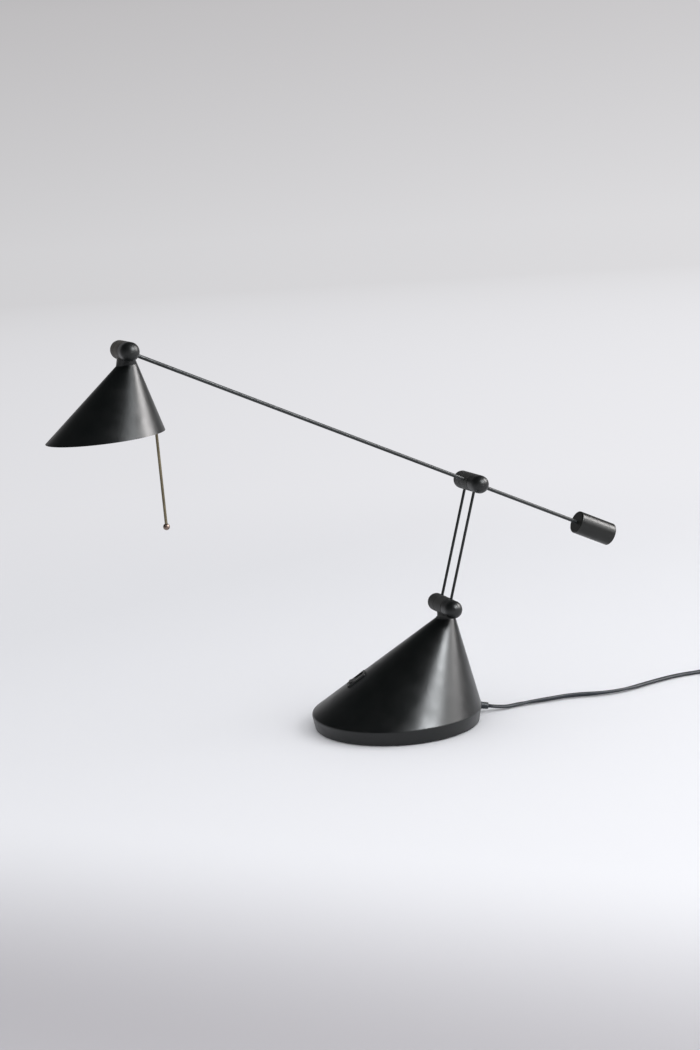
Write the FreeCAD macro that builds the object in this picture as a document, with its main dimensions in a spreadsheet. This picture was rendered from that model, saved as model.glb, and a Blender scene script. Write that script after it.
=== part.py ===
import FreeCAD, Part
import math
import os
import re
import Sketcher
from FreeCAD import Placement, Vector

# Counterweight balance desk lamp. Millimetres and degrees, +Z up, origin under the middle of the base.
# The long slope of the base, with its switch, looks to -X and the flex leaves at +X.
# Left is the -Y side of the arm and right is the +Y side.

SIZES = {
    # Base housing
    "base_radius": 80.0,
    "foot_inset": 2.5,
    "foot_height": 0.8,
    "band_height": 13.6,
    "neck_offset": 50.5,
    "cone_top": 98.0,
    "cone_top_radius": 9.2,
    "shell_wall": 2.0,
    "neck_thickness": 8.0,
    "fold_round": 2.5,
    "overrun": 1.0,
    # Base plate and pad
    "pad_thickness": 1.2,
    "pad_inset": 7.5,
    "plate_thickness": 2.0,
    "plate_clearance": 0.25,
    "post_inset": 15.5,
    "post_radius": 4.0,
    "base_screw_radius": 2.0,
    "base_screw_head": 3.7,
    "base_screw_length": 12.0,
    # Transformer
    "transformer_offset": 24.0,
    "core_width": 60.0,
    "core_height": 50.0,
    "core_depth": 24.0,
    "core_limb": 10.0,
    "bobbin_wall": 1.0,
    "winding_depth": 8.0,
    "winding_round": 3.0,
    "clamp_sheet": 1.5,
    "clamp_width": 20.0,
    "clamp_foot": 10.0,
    "clamp_screw_radius": 2.0,
    "clamp_screw_head": 3.6,
    "clamp_screw_head_height": 2.2,
    "clamp_screw_chamfer": 0.8,
    # Terminal block
    "terminal_offset": -30.0,
    "terminal_side": -38.0,
    "terminal_length": 24.0,
    "terminal_width": 16.0,
    "terminal_height": 13.0,
    "terminal_bore": 1.6,
    "terminal_screw_radius": 2.2,
    # Switch
    "switch_up_slope": 53.5,
    "bezel_length": 21.0,
    "bezel_width": 15.0,
    "bezel_thickness": 1.6,
    "bezel_round": 2.0,
    "seat_depth": 0.6,
    "switch_length": 18.6,
    "switch_width": 12.6,
    "switch_depth": 14.0,
    "switch_clearance": 0.1,
    "rocker_length": 15.2,
    "rocker_width": 10.4,
    "rocker_clearance": 0.75,
    "rocker_side_clearance": 0.15,
    "rocker_axis_depth": 2.0,
    "rocker_rise": 3.2,
    "rocker_dip": 0.9,
    "rocker_base": 2.0,
    "rocker_tilt": 10.0,
    "rocker_pin_radius": 0.8,
    "rocker_pin_length": 0.6,
    # Mains inlet
    "exit_height": 7.6,
    "exit_turn": 10.0,
    "relief_neck": 3.5,
    "relief_flange": 4.4,
    "relief_flange_thickness": 1.5,
    "relief_seat": 0.3,
    "relief_grip": 0.4,
    "relief_length": 10.0,
    "relief_tip": 3.1,
    "relief_groove": 0.35,
    "relief_tail": 8.0,
    "relief_tail_radius": 2.8,
    # Neck swivel
    "arm_swing": 18.5,
    "pivot_height": 109.0,
    "bushing_wall": 0.6,
    "bushing_flange": 0.6,
    "bushing_flange_inset": 0.3,
    "stem_radius": 4.95,
    "stem_bore": 3.2,
    "stem_length": 25.0,
    "stem_inset": 1.0,
    "collar_radius": 7.6,
    "swivel_gap": 0.12,
    "swivel_washer_radius": 8.0,
    "swivel_washer_thickness": 1.0,
    "swivel_nut_flats": 15.0,
    "swivel_nut_height": 5.0,
    # Pivot barrels
    "barrel_radius": 8.4,
    "barrel_half": 20.0,
    "barrel_groove": 0.5,
    "hub_half": 8.5,
    "insulator_thickness": 0.5,
    "insulator_radius": 7.4,
    "side_gap": 0.1,
    "bolt_radius": 3.0,
    "running_clearance": 0.05,
    "nut_seat": 14.5,
    "nut_flats": 8.4,
    "nut_height": 2.6,
    "nut_pocket": 5.3,
    "spigot_radius": 6.8,
    "spigot_depth": 2.0,
    # Struts
    "strut_lean": 16.0,
    "strut_span": 118.0,
    "strut_spacing": 21.4,
    "strut_radius": 1.3,
    "strut_end": 4.2,
    # Arm
    "arm_rise": 25.0,
    "arm_reach": 347.0,
    "arm_radius": 1.75,
    "arm_bore": 0.9,
    "core_clearance": 0.05,
    "rod_stop": 4.0,
    "lock_screw_radius": 1.5,
    "lock_screw_offset": 5.2,
    "lock_screw_length": 4.0,
    # Counterweight
    "weight_start": 117.8,
    "weight_length": 39.0,
    "weight_radius": 10.85,
    "weight_round": 1.2,
    "weight_rod_inset": 2.0,
    "weight_screw_radius": 2.0,
    "weight_screw_length": 7.5,
    # Shade, measured in the head's own frame
    "shade_tip": 3.0,
    "shade_neck_drop": 12.1,
    "shade_neck_radius": 9.2,
    "shade_drop": 70.5,
    "shade_rim_offset": 26.5,
    "shade_rim_radius": 51.4,
    "shade_wall": 1.0,
    "shade_top_thickness": 1.5,
    "saddle_top": 4.6,
    "saddle_length": 14.0,
    "saddle_width": 6.9,
    "hub_clearance": 0.35,
    "saddle_floor": 0.8,
    "slot_clearance": 0.4,
    "screw_end_gap": 0.3,
    "shade_screw_radius": 3.0,
    "shade_screw_bore": 1.6,
    "shade_screw_head": 4.2,
    "shade_screw_head_height": 2.5,
    # Lampholder and bulb, measured down the shade's centre line
    "bracket_sheet": 1.0,
    "bracket_width": 8.0,
    "bracket_length": 25.0,
    "holder_start": 12.0,
    "holder_length": 14.0,
    "holder_width": 9.0,
    "holder_depth": 13.0,
    "bulb_radius": 4.6,
    "bulb_length": 26.0,
    "bulb_pinch": 3.0,
    "pinch_width": 8.2,
    "bulb_gap": 0.3,
    "pin_radius": 0.4,
    "pin_spacing": 4.0,
    "pin_depth": 6.0,
    # Handle rod
    "handle_offset": 18.35,
    "handle_start": 56.0,
    "handle_lean": 1.4,
    "handle_length": 100.6,
    "handle_radius": 1.25,
    "ball_radius": 3.0,
    "ball_bore_depth": 1.8,
    "clip_height": 8.0,
    "clip_width": 7.0,
    "clip_back": 2.0,
    "clip_drop": 2.0,
    # Plug
    "plug_length": 36.0,
    "plug_width": 35.0,
    "plug_height": 13.7,
    "plug_neck": 9.0,
    "plug_collar": 7.7,
    "plug_shoulder": 22.0,
    "plug_corner_length": 4.0,
    "plug_corner_width": 3.0,
    "plug_round": 1.5,
    "plug_pin_radius": 2.0,
    "plug_pin_length": 19.0,
    "plug_pin_spacing": 18.6,
}

# Flex: flat twin cord 5.4 wide, drawn as a round tube of that width, lying on the table.
CORD_DIAMETER = 5.4
CORD_RADIUS = CORD_DIAMETER / 2

# Corners of the visible stretch, from the strain relief to the coil, as x, y and height of the middle.
FIRST_RUN = 15.0
LEAD_ROUTE = [
    (121.0, 29.0, CORD_RADIUS),
    (146.0, 35.0, CORD_RADIUS),
    (170.0, 44.5, CORD_RADIUS),
    (200.0, 44.5, CORD_RADIUS),
    (226.0, 53.5, CORD_RADIUS),
    (254.0, 75.0, CORD_RADIUS),
    (284.0, 95.0, CORD_RADIUS),
    (312.0, 103.5, CORD_RADIUS),
    (338.0, 118.4, CORD_RADIUS),
]

# Coil: in two layers, wound inwards on the table and outwards on top of that.
COIL_CENTRE = (362.0, 76.0)
COIL_OUTER_RADIUS = 42.4
COIL_PITCH = 5.9
COIL_TURNS_IN = 3.5
COIL_TURNS_OUT = 3.25
TAIL_LEVEL = 12.0
TAIL_LOW_POINT = 40.0
TAIL_OFFSET = 4.0
TAIL_LENGTH = 66.0

doc = FreeCAD.newDocument("BalanceLamp")
sheet = doc.addObject("Spreadsheet::Sheet", "Sizes")
for row, (alias, value) in enumerate(SIZES.items(), start=1):
    sheet.set("A%d" % row, alias)
    sheet.set("B%d" % row, str(value))
    sheet.setAlias("B%d" % row, alias)
doc.recompute()

SAME = 1e-2
ALIAS_WORDS = re.compile(r"\b(" + "|".join(SIZES) + r")\b")
nodes = []


def sized(text):
    """Writes an expression of size names so that it reads the cells of the sheet."""
    return ALIAS_WORDS.sub(r"Sizes.\1", str(text))


def number(text):
    """The present value of an expression of size names."""
    return float(sheet.evalExpression(sized(text)))


def bind(thing, **expressions):
    for prop, expression in expressions.items():
        thing.setExpression(prop, sized(expression))
    return thing


def place(thing, frame, at=(0, 0, 0), turn="rotationz(0)"):
    """Fixes a thing in a frame, at a point and with a turn that both follow the sheet."""
    where = "placement(vector(%s; %s; %s); %s)" % (at[0], at[1], at[2], turn)
    thing.setExpression("Placement", sized("%s.Placement * %s" % (frame.Name, where)))
    return thing


def new_frame(name, parent, at, turn):
    frame = doc.addObject("Part::LocalCoordinateSystem", name)
    return place(frame, parent, at, turn)


def solid(kind, name, frame, at=(0, 0, 0), turn="rotationz(0)", **expressions):
    """A primitive such as a Cylinder or a Box, sized and placed from the sheet."""
    return place(bind(doc.addObject("Part::" + kind, name), **expressions), frame, at, turn)


def join(name, *things):
    fused = doc.addObject("Part::MultiFuse", name)
    fused.Shapes = list(things)
    return fused


def cut(name, base, *tools):
    result = doc.addObject("Part::Cut", name)
    result.Base = base
    result.Tool = tools[0] if len(tools) == 1 else join(name + "_tools", *tools)
    return result


def common(name, first, second):
    result = doc.addObject("Part::Common", name)
    result.Base = first
    result.Tool = second
    return result


def group(name, *things):
    """Separate solids that share one node, such as a set of screws."""
    result = doc.addObject("Part::Compound", name)
    result.Links = list(things)
    return result


def node(thing, label):
    thing.Label = label
    nodes.append(thing)
    return thing


def round_edges(name, base, radius, wanted):
    """Rounds the edges of a Part object that the test picks."""
    doc.recompute()
    result = doc.addObject("Part::Fillet", name)
    result.Base = base
    size = number(radius)
    result.Edges = [(index, size, size)
                    for index, edge in enumerate(base.Shape.Edges, start=1) if wanted(edge)]
    return result


def along(edge, direction):
    """Whether a straight edge runs along a direction."""
    if not isinstance(edge.Curve, Part.Line):
        return False
    return abs(abs(edge.tangentAt(edge.FirstParameter).dot(direction)) - 1) < 1e-6


def new_body(name, frame, at, turn):
    return place(doc.addObject("PartDesign::Body", name), frame, at, turn)


def outline(body, name, plane, points):
    """A closed sketch of straight sides, each corner held by two sizes from the origin."""
    sketch = body.newObject("Sketcher::SketchObject", name)
    origin_plane = next(f for f in body.Origin.OriginFeatures if f.Role == plane)
    sketch.AttachmentSupport = [(origin_plane, "")]
    sketch.MapMode = "FlatFace"
    corners = [Vector(number(x), number(y), 0) for x, y in points]
    count = len(corners)
    for side in range(count):
        sketch.addGeometry(Part.LineSegment(corners[side], corners[(side + 1) % count]))
    for side in range(count):
        sketch.addConstraint(Sketcher.Constraint("Coincident", side, 2, (side + 1) % count, 1))
    for side, (x, y) in enumerate(points):
        for kind, value in (("DistanceX", x), ("DistanceY", y)):
            index = sketch.addConstraint(Sketcher.Constraint(kind, -1, 1, side, 1, number(value)))
            sketch.setExpression("Constraints[%d]" % index, sized(value))
    return sketch


def turned(name, frame, at, turn, points):
    """A body turned about its own Z axis from an outline of radius and height."""
    body = new_body(name, frame, at, turn)
    sketch = outline(body, name + "_profile", "XZ_Plane", points)
    turning = body.newObject("PartDesign::Revolution", name + "_turning")
    turning.Profile = sketch
    turning.ReferenceAxis = (sketch, ["V_Axis"])
    turning.Angle = 360
    return body


def padded(name, frame, at, turn, plane, points, depth):
    """A body extruded evenly to both sides of an outline."""
    body = new_body(name, frame, at, turn)
    pad = body.newObject("PartDesign::Pad", name + "_pad")
    pad.Profile = outline(body, name + "_profile", plane, points)
    pad.Midplane = True
    bind(pad, Length=depth)
    return body


def tube(name, frame, at, turn, outer, inner, length):
    """A plain ring or tube."""
    return turned(name, frame, at, turn,
                  [(inner, "0"), (outer, "0"), (outer, length), (inner, length)])


def oblique_cone(name, frame, top, rim, first, last, inset=("0", "0")):
    """A solid cone between circles whose centres lie apart along X.

    top and rim are (x, height, radius). first and last say which part of the way from top to rim
    is built, and inset is how far the -X and the +X side stand in from the full cone.
    """
    circles = []
    for end, share in (("_start", first), ("_end", last)):
        x = "(%s) + ((%s) - (%s)) * (%s) + ((%s) - (%s)) / 2" % (
            top[0], rim[0], top[0], share, inset[0], inset[1])
        height = "(%s) + ((%s) - (%s)) * (%s)" % (top[1], rim[1], top[1], share)
        radius = "(%s) + ((%s) - (%s)) * (%s) - ((%s) + (%s)) / 2" % (
            top[2], rim[2], top[2], share, inset[0], inset[1])
        circles.append(solid("Circle", name + end, frame, (x, "0", height), Radius=radius))
    loft = doc.addObject("Part::Loft", name)
    loft.Sections = circles
    loft.Solid = True
    loft.Ruled = True
    return loft


def sheet_inset(run, rise, wall):
    """How far in a sheet's inner side lies, measured level, on a side that runs and rises so."""
    return "%s * sqrt(1 + ((%s) / (%s))^2)" % (wall, run, rise)


def along_x(at_x="0"):
    return {"at": (at_x, "0", "0"), "turn": "rotationy(90)"}


# Frames of the moving parts

world = doc.addObject("Part::LocalCoordinateSystem", "Frame_base")
turret = new_frame("Frame_turret", world, ("neck_offset", "0", "pivot_height"), "rotationz(arm_swing)")
struts = new_frame("Frame_struts", turret, (0, 0, 0), "rotationy(strut_lean)")
arm = new_frame("Frame_arm", struts, ("0", "0", "strut_span"), "rotationy(arm_rise - strut_lean)")
head = new_frame("Frame_head", arm, ("-arm_reach", "0", "0"), "rotationy(-arm_rise - shade_tip)")

BASE_RISE = "(cone_top - band_height)"
LONG_RUN = "(base_radius + neck_offset - cone_top_radius)"
SHORT_RUN = "(base_radius - neck_offset - cone_top_radius)"
SLOPE = "atan2(%s; %s)" % (BASE_RISE, LONG_RUN)
switch = new_frame(
    "Frame_switch", world,
    ("-base_radius + switch_up_slope * cos(%s)" % SLOPE, "0",
     "band_height + switch_up_slope * sin(%s)" % SLOPE),
    "rotationy(-%s)" % SLOPE)
rocker = new_frame("Frame_rocker", switch, ("0", "0", "-rocker_axis_depth"), "rotationy(rocker_tilt)")

FOOT_RADIUS = "(base_radius - foot_inset)"
POST_CIRCLE = "(base_radius - foot_inset - post_inset)"
BAND_RISE = "(band_height - foot_height)"
BAND_FLARE = "(foot_inset / %s)" % BAND_RISE
BAND_WALL = "(%s)" % sheet_inset("foot_inset", BAND_RISE, "shell_wall")
EXIT_RADIUS = "(%s + %s * (exit_height - foot_height))" % (FOOT_RADIUS, BAND_FLARE)
inlet = new_frame(
    "Frame_inlet", world,
    (EXIT_RADIUS + " * cos(exit_turn)", EXIT_RADIUS + " * sin(exit_turn)", "exit_height"),
    "rotationz(exit_turn) * rotationy(atan(%s))" % BAND_FLARE)

SHADE_FALL = "(shade_drop - shade_neck_drop)"
CENTRE_LINE = "atan2(shade_rim_offset; %s)" % SHADE_FALL
SHADE_INNER_TOP = "(-shade_neck_drop - shade_top_thickness)"
lamp = new_frame("Frame_lamp", head, ("0", "0", SHADE_INNER_TOP), "rotationy(%s) * rotationy(180)" % CENTRE_LINE)
handle = new_frame(
    "Frame_handle", head, ("handle_offset", "0", "-handle_start"), "rotationy(handle_lean + 180)")

PLATE_TOP = "(pad_thickness + plate_thickness)"
STEM_TOP = "(-bolt_radius - stem_inset)"


def post_place(count, height):
    """The middle of one of the three posts, at a height."""
    angle = 60 + 120 * count
    return ("%s * cos(%d)" % (POST_CIRCLE, angle), "%s * sin(%d)" % (POST_CIRCLE, angle), height)


def make_base_screws():
    """Countersunk screws that hold the plate to the posts of the housing."""
    screws = []
    for count in range(3):
        screw = turned("Base_screw_%d" % (count + 1), world, post_place(count, "pad_thickness"), "rotationz(0)", [
            ("0", "0"),
            ("base_screw_head", "0"),
            ("base_screw_radius", "base_screw_head - base_screw_radius"),
            ("base_screw_radius", "base_screw_length"),
            ("0", "base_screw_length"),
        ])
        screws.append(screw)
    return node(group("Base_screws", *screws), "base_screws")


def make_base_shell(screws):
    """Sheet housing: an oblique cone that folds down into a flared band."""
    top = ("neck_offset", "cone_top", "cone_top_radius")
    fold = ("0", "band_height", "base_radius")
    outer_cone = oblique_cone("Shell_cone", world, top, fold, "0", "1")
    band = solid("Cone", "Shell_band", world, ("0", "0", "foot_height"),
                 Radius1=FOOT_RADIUS, Radius2="base_radius", Height=BAND_RISE)
    outer = join("Shell_outside", outer_cone, band)
    rounded = round_edges(
        "Shell_rounded", outer, "fold_round",
        lambda edge: abs(edge.BoundBox.ZMin - number("band_height")) < SAME
        and edge.BoundBox.ZLength < SAME)

    inset = (sheet_inset(LONG_RUN, BASE_RISE, "shell_wall"), sheet_inset(SHORT_RUN, BASE_RISE, "shell_wall"))
    inner_cone = oblique_cone(
        "Shell_hollow_cone", world, top, fold,
        "neck_thickness / %s" % BASE_RISE, "(cone_top + overrun) / %s" % BASE_RISE, inset)
    inner_band = solid(
        "Cone", "Shell_hollow_band", world,
        Radius1="%s - %s - %s * foot_height" % (FOOT_RADIUS, BAND_WALL, BAND_FLARE),
        Radius2="%s - %s + %s * (cone_top - foot_height)" % (FOOT_RADIUS, BAND_WALL, BAND_FLARE),
        Height="cone_top")
    hollow = common("Shell_hollow", inner_cone, inner_band)
    skin = cut("Shell_skin", rounded, hollow)

    posts = []
    for count in range(3):
        posts.append(solid("Cylinder", "Post_%d" % (count + 1), world, post_place(count, PLATE_TOP),
                           Radius="post_radius", Height="cone_top"))
    kept_posts = common("Shell_posts", join("All_posts", *posts), outer)
    body = join("Shell_with_posts", skin, kept_posts)

    neck_hole = solid("Cylinder", "Neck_hole", world, ("neck_offset", "0", "cone_top - neck_thickness - overrun"),
                      Radius="stem_radius + running_clearance + bushing_wall",
                      Height="neck_thickness + 2 * overrun")
    seat = solid("Box", "Switch_seat", switch,
                 ("-bezel_length / 2 - switch_clearance", "-bezel_width / 2 - switch_clearance", "-seat_depth"),
                 Length="bezel_length + 2 * switch_clearance", Width="bezel_width + 2 * switch_clearance",
                 Height="bezel_length")
    window = solid("Box", "Switch_window", switch,
                   ("-switch_length / 2 - switch_clearance", "-switch_width / 2 - switch_clearance",
                    "-switch_depth"),
                   Length="switch_length + 2 * switch_clearance", Width="switch_width + 2 * switch_clearance",
                   Height="2 * switch_depth")
    inlet_hole = solid("Cylinder", "Inlet_hole", inlet, ("-2 * relief_tail", "0", "0"), "rotationy(90)",
                       Radius="relief_neck", Height="4 * relief_tail")
    return node(cut("Base_shell", body, neck_hole, seat, window, inlet_hole, screws), "base_shell")


def make_floor(screws, clamp_screws):
    """Steel plate that closes the housing, and the pad under it."""
    disc = solid("Cylinder", "Plate_disc", world, ("0", "0", "pad_thickness"),
                 Radius="%s - %s - plate_clearance" % (FOOT_RADIUS, BAND_WALL), Height="plate_thickness")
    node(cut("Base_plate", disc, screws, clamp_screws), "base_plate")
    pad = solid("Cylinder", "Pad_disc", world, Radius=FOOT_RADIUS + " - pad_inset", Height="pad_thickness")
    holes = []
    for count in range(3):
        holes.append(solid("Cylinder", "Pad_hole_%d" % (count + 1), world, post_place(count, "0"),
                           Radius="base_screw_head + plate_clearance", Height="pad_thickness"))
    node(cut("Base_pad", pad, *holes), "base_pad")


def centred_box(name, frame, middle, length, width, height):
    """A box centred on a point along X and Y, that starts at the point's height."""
    at = ("(%s) - (%s) / 2" % (middle[0], length), "(%s) - (%s) / 2" % (middle[1], width), middle[2])
    return solid("Box", name, frame, at, Length=length, Width=width, Height=height)


def make_transformer():
    """Laminated core with a wound bobbin on its middle limb, strapped to the plate."""
    foot = ("transformer_offset", "0", PLATE_TOP)
    block = centred_box("Core_block", world, foot, "core_width", "core_depth", "core_height")
    window_width = "(core_width - 4 * core_limb) / 2"
    window_height = "core_height - 2 * core_limb"
    windows = []
    for name, side in (("Core_window_front", "-1"), ("Core_window_back", "1")):
        middle = ("transformer_offset + %s * (core_limb + %s / 2)" % (side, window_width), "0",
                  PLATE_TOP + " + core_limb")
        windows.append(centred_box(name, world, middle, window_width, "core_depth", window_height))
    node(cut("Transformer_core", block, *windows), "transformer_core")

    window_foot = ("transformer_offset", "0", PLATE_TOP + " + core_limb")
    limb = centred_box("Limb", world, window_foot, "2 * core_limb", "core_depth", window_height)
    spool_width = "(2 * core_limb + 2 * bobbin_wall)"
    spool_depth = "(core_depth + 2 * bobbin_wall)"
    spool = centred_box("Spool", world, window_foot, spool_width, spool_depth, window_height)
    flange_width = "(2 * core_limb + 2 * winding_depth + 2 * bobbin_wall)"
    flange_depth = "(core_depth + 2 * winding_depth + 2 * bobbin_wall)"
    lower = centred_box("Lower_flange", world, window_foot, flange_width, flange_depth, "bobbin_wall")
    upper_foot = ("transformer_offset", "0", PLATE_TOP + " + core_height - core_limb - bobbin_wall")
    upper = centred_box("Upper_flange", world, upper_foot, flange_width, flange_depth, "bobbin_wall")
    bobbin = cut("Transformer_bobbin", join("Bobbin_block", spool, lower, upper), limb)
    node(bobbin, "transformer_bobbin")

    winding_foot = ("transformer_offset", "0", PLATE_TOP + " + core_limb + bobbin_wall")
    winding_height = "core_height - 2 * core_limb - 2 * bobbin_wall"
    wound = centred_box("Wound_block", world, winding_foot,
                        flange_width + " - bobbin_wall", flange_depth + " - bobbin_wall", winding_height)
    rounded = round_edges("Wound_rounded", wound, "winding_round", lambda edge: along(edge, Vector(0, 0, 1)))
    node(cut("Transformer_winding", rounded, spool), "transformer_winding")

    half = "core_width / 2"
    shin = half + " + clamp_sheet"
    toe = shin + " + clamp_foot"
    strap = padded("Clamp_strap", world, foot, "rotationz(0)", "XZ_Plane", [
        ("-(%s)" % toe, "0"), ("-(%s)" % half, "0"), ("-(%s)" % half, "core_height"),
        (half, "core_height"), (half, "0"), (toe, "0"), (toe, "clamp_sheet"), (shin, "clamp_sheet"),
        (shin, "core_height + clamp_sheet"), ("-(%s)" % shin, "core_height + clamp_sheet"),
        ("-(%s)" % shin, "clamp_sheet"), ("-(%s)" % toe, "clamp_sheet"),
    ], "clamp_width")
    screws = []
    for name, side in (("Clamp_screw_front", "-1"), ("Clamp_screw_back", "1")):
        at = ("transformer_offset + %s * (%s + clamp_foot / 2)" % (side, shin), "0", "pad_thickness")
        sheets = "plate_thickness + clamp_sheet"
        screws.append(turned(name, world, at, "rotationz(0)", [
            ("0", "0"),
            ("clamp_screw_radius", "0"),
            ("clamp_screw_radius", sheets),
            ("clamp_screw_head", sheets),
            ("clamp_screw_head", sheets + " + clamp_screw_head_height - clamp_screw_chamfer"),
            ("clamp_screw_head - clamp_screw_chamfer", sheets + " + clamp_screw_head_height"),
            ("0", sheets + " + clamp_screw_head_height"),
        ]))
    clamp_screws = node(group("Transformer_screws", *screws), "transformer_screws")
    node(cut("Transformer_clamp", strap, clamp_screws), "transformer_clamp")
    return clamp_screws


def make_terminal_block():
    """Three way screw terminal for the mains flex."""
    block = centred_box("Terminal_body", world, ("terminal_offset", "terminal_side", PLATE_TOP),
                        "terminal_length", "terminal_width", "terminal_height")
    bores = []
    for count in range(3):
        x = "terminal_offset + %d * terminal_length / 3" % (count - 1)
        wire_height = PLATE_TOP + " + terminal_height / 3"
        bores.append(solid("Cylinder", "Wire_way_%d" % (count + 1), world,
                           (x, "terminal_side - terminal_width", wire_height), "rotationx(-90)",
                           Radius="terminal_bore", Height="2 * terminal_width"))
        bores.append(solid("Cylinder", "Screw_way_%d" % (count + 1), world,
                           (x, "terminal_side", wire_height),
                           Radius="terminal_screw_radius", Height="terminal_height"))
    node(cut("Terminal_block", block, *bores), "terminal_block")


def make_switch():
    """Snap-in rocker switch on the long slope."""
    bezel = centred_box("Bezel_block", switch, ("0", "0", "-seat_depth"),
                        "bezel_length", "bezel_width", "bezel_thickness")
    doc.recompute()
    normal = switch.Placement.Rotation.multVec(Vector(0, 0, 1))
    bezel = round_edges("Bezel_rounded", bezel, "bezel_round", lambda edge: along(edge, normal))
    can = centred_box("Switch_can", switch, ("0", "0", "-seat_depth - switch_depth"),
                      "switch_length", "switch_width", "switch_depth")
    cavity_floor = "rocker_axis_depth + rocker_base + rocker_length / 2 * sin(rocker_tilt) + rocker_side_clearance"
    cavity = centred_box("Rocker_cavity", switch, ("0", "0", "-(%s)" % cavity_floor),
                         "rocker_length + 2 * rocker_clearance",
                         "rocker_width + 2 * rocker_side_clearance", "2 * switch_depth")
    pin_way = solid("Cylinder", "Rocker_pin_way", switch,
                    ("0", "-rocker_width / 2 - rocker_pin_length - rocker_side_clearance",
                     "-rocker_axis_depth"), "rotationx(-90)",
                    Radius="rocker_pin_radius + running_clearance",
                    Height="rocker_width + 2 * rocker_pin_length + 2 * rocker_side_clearance")
    node(cut("Switch_housing", join("Switch_block", bezel, can), cavity, pin_way), "switch_housing")

    key = padded("Rocker_key", rocker, (0, 0, 0), "rotationz(0)", "XZ_Plane", [
        ("-rocker_length / 2", "-rocker_base"), ("rocker_length / 2", "-rocker_base"),
        ("rocker_length / 2", "rocker_rise"), ("0", "rocker_rise - rocker_dip"),
        ("-rocker_length / 2", "rocker_rise"),
    ], "rocker_width")
    pin = solid("Cylinder", "Rocker_pin", rocker, ("0", "-rocker_width / 2 - rocker_pin_length", "0"),
                "rotationx(-90)", Radius="rocker_pin_radius", Height="rocker_width + 2 * rocker_pin_length")
    node(join("Switch_rocker", key, pin), "switch_rocker")


def make_strain_relief():
    """Moulded relief, snapped into the band, that tapers along the flex with flexing grooves."""
    neck = "(shell_wall + relief_grip)"
    tail = "(-%s - relief_tail)" % neck
    points = [
        ("0", tail), ("relief_tail_radius", tail), ("relief_flange", "-%s - relief_tail / 2" % neck),
        ("relief_flange", "-" + neck), ("relief_neck", "-" + neck), ("relief_neck", "relief_seat"),
        ("relief_flange", "relief_seat"), ("relief_flange", "relief_flange_thickness"),
        ("relief_neck", "relief_flange_thickness"),
    ]
    groove_count = 3
    groove_share = 0.06
    start = "relief_flange_thickness + (relief_length - relief_flange_thickness) * %g"
    radius = "relief_neck + (relief_tip - relief_neck) * %g"
    for groove in range(groove_count):
        share = (groove + 0.6) / (groove_count + 1)
        points.append((radius % share, start % share))
        points.append(((radius % share) + " - relief_groove", start % (share + groove_share / 2)))
        points.append((radius % (share + groove_share), start % (share + groove_share)))
    points.append(("relief_tip", "relief_length"))
    points.append(("0", "relief_length"))
    node(turned("Cord_strain_relief", inlet, (0, 0, 0), "rotationy(90)", points), "cord_strain_relief")


def make_swivel():
    """Hollow stem in a flanged bush, drawn up by a nut under the neck."""
    bore = "(stem_radius + running_clearance)"
    sleeve = "(%s + bushing_wall)" % bore
    flange = "cone_top_radius - bushing_flange_inset"
    node(turned("Neck_bushing", world, ("neck_offset", "0", "cone_top"), "rotationz(0)", [
        (bore, "-neck_thickness"), (sleeve, "-neck_thickness"), (sleeve, "0"),
        (flange, "0"), (flange, "bushing_flange"),
        (bore, "bushing_flange"),
    ]), "neck_bushing")

    node(tube("Swivel_stem", turret, ("0", "0", STEM_TOP + " - stem_length"), "rotationz(0)",
              "stem_radius", "stem_bore", "stem_length"), "swivel_stem")
    washer_top = "(cone_top - neck_thickness - swivel_gap - pivot_height)"
    washer_foot = "%s - swivel_washer_thickness" % washer_top
    node(tube("Swivel_washer", turret, ("0", "0", washer_foot), "rotationz(0)",
              "swivel_washer_radius", "stem_radius", "swivel_washer_thickness"), "swivel_washer")
    hexagon = solid("Prism", "Swivel_nut_hexagon", turret,
                    ("0", "0", washer_foot + " - swivel_nut_height"),
                    Circumradius="swivel_nut_flats / sqrt(3)", Height="swivel_nut_height")
    thread = solid("Cylinder", "Swivel_nut_thread", turret,
                   ("0", "0", washer_foot + " - swivel_nut_height - overrun"),
                   Radius="stem_radius", Height="swivel_nut_height + 2 * overrun")
    node(cut("Swivel_nut", hexagon, thread), "swivel_nut")


SIDES = (("left", "rotationx(90)", "-1"), ("right", "rotationx(-90)", "1"))


def make_bolt(prefix, frame, at):
    """Pivot bolt along Y with a nut on each end, and the insulators beside the hub."""
    half = "(nut_seat + side_gap + nut_height)"
    start = (at[0], "-" + half, at[2])
    bolt = solid("Cylinder", prefix + "_bolt", frame, start, "rotationx(-90)",
                 Radius="bolt_radius", Height="2 * " + half)
    nuts = []
    washers = []
    for side, turn, sign in SIDES:
        hexagon = solid("Prism", "%s_nut_%s_hexagon" % (prefix, side), frame,
                        (at[0], "%s * (nut_seat + side_gap)" % sign, at[2]), turn,
                        Circumradius="nut_flats / sqrt(3)", Height="nut_height")
        nuts.append(cut("%s_nut_%s" % (prefix, side), hexagon, bolt))
        washers.append(tube("%s_insulator_%s" % (prefix, side), frame,
                            (at[0], "%s * hub_half" % sign, at[2]), turn,
                            "insulator_radius", "bolt_radius", "insulator_thickness"))
    name = prefix.lower()
    node(group(prefix + "_nuts", *nuts), name + "_nuts")
    node(group(prefix + "_insulators", *washers), name + "_insulators")
    return bolt


def make_hub(prefix, frame, at):
    """The middle third of a barrel, before its holes."""
    return solid("Cylinder", prefix + "_hub_round", frame, (at[0], "-hub_half", at[2]), "rotationx(-90)",
                 Radius="barrel_radius", Height="2 * hub_half")


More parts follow.
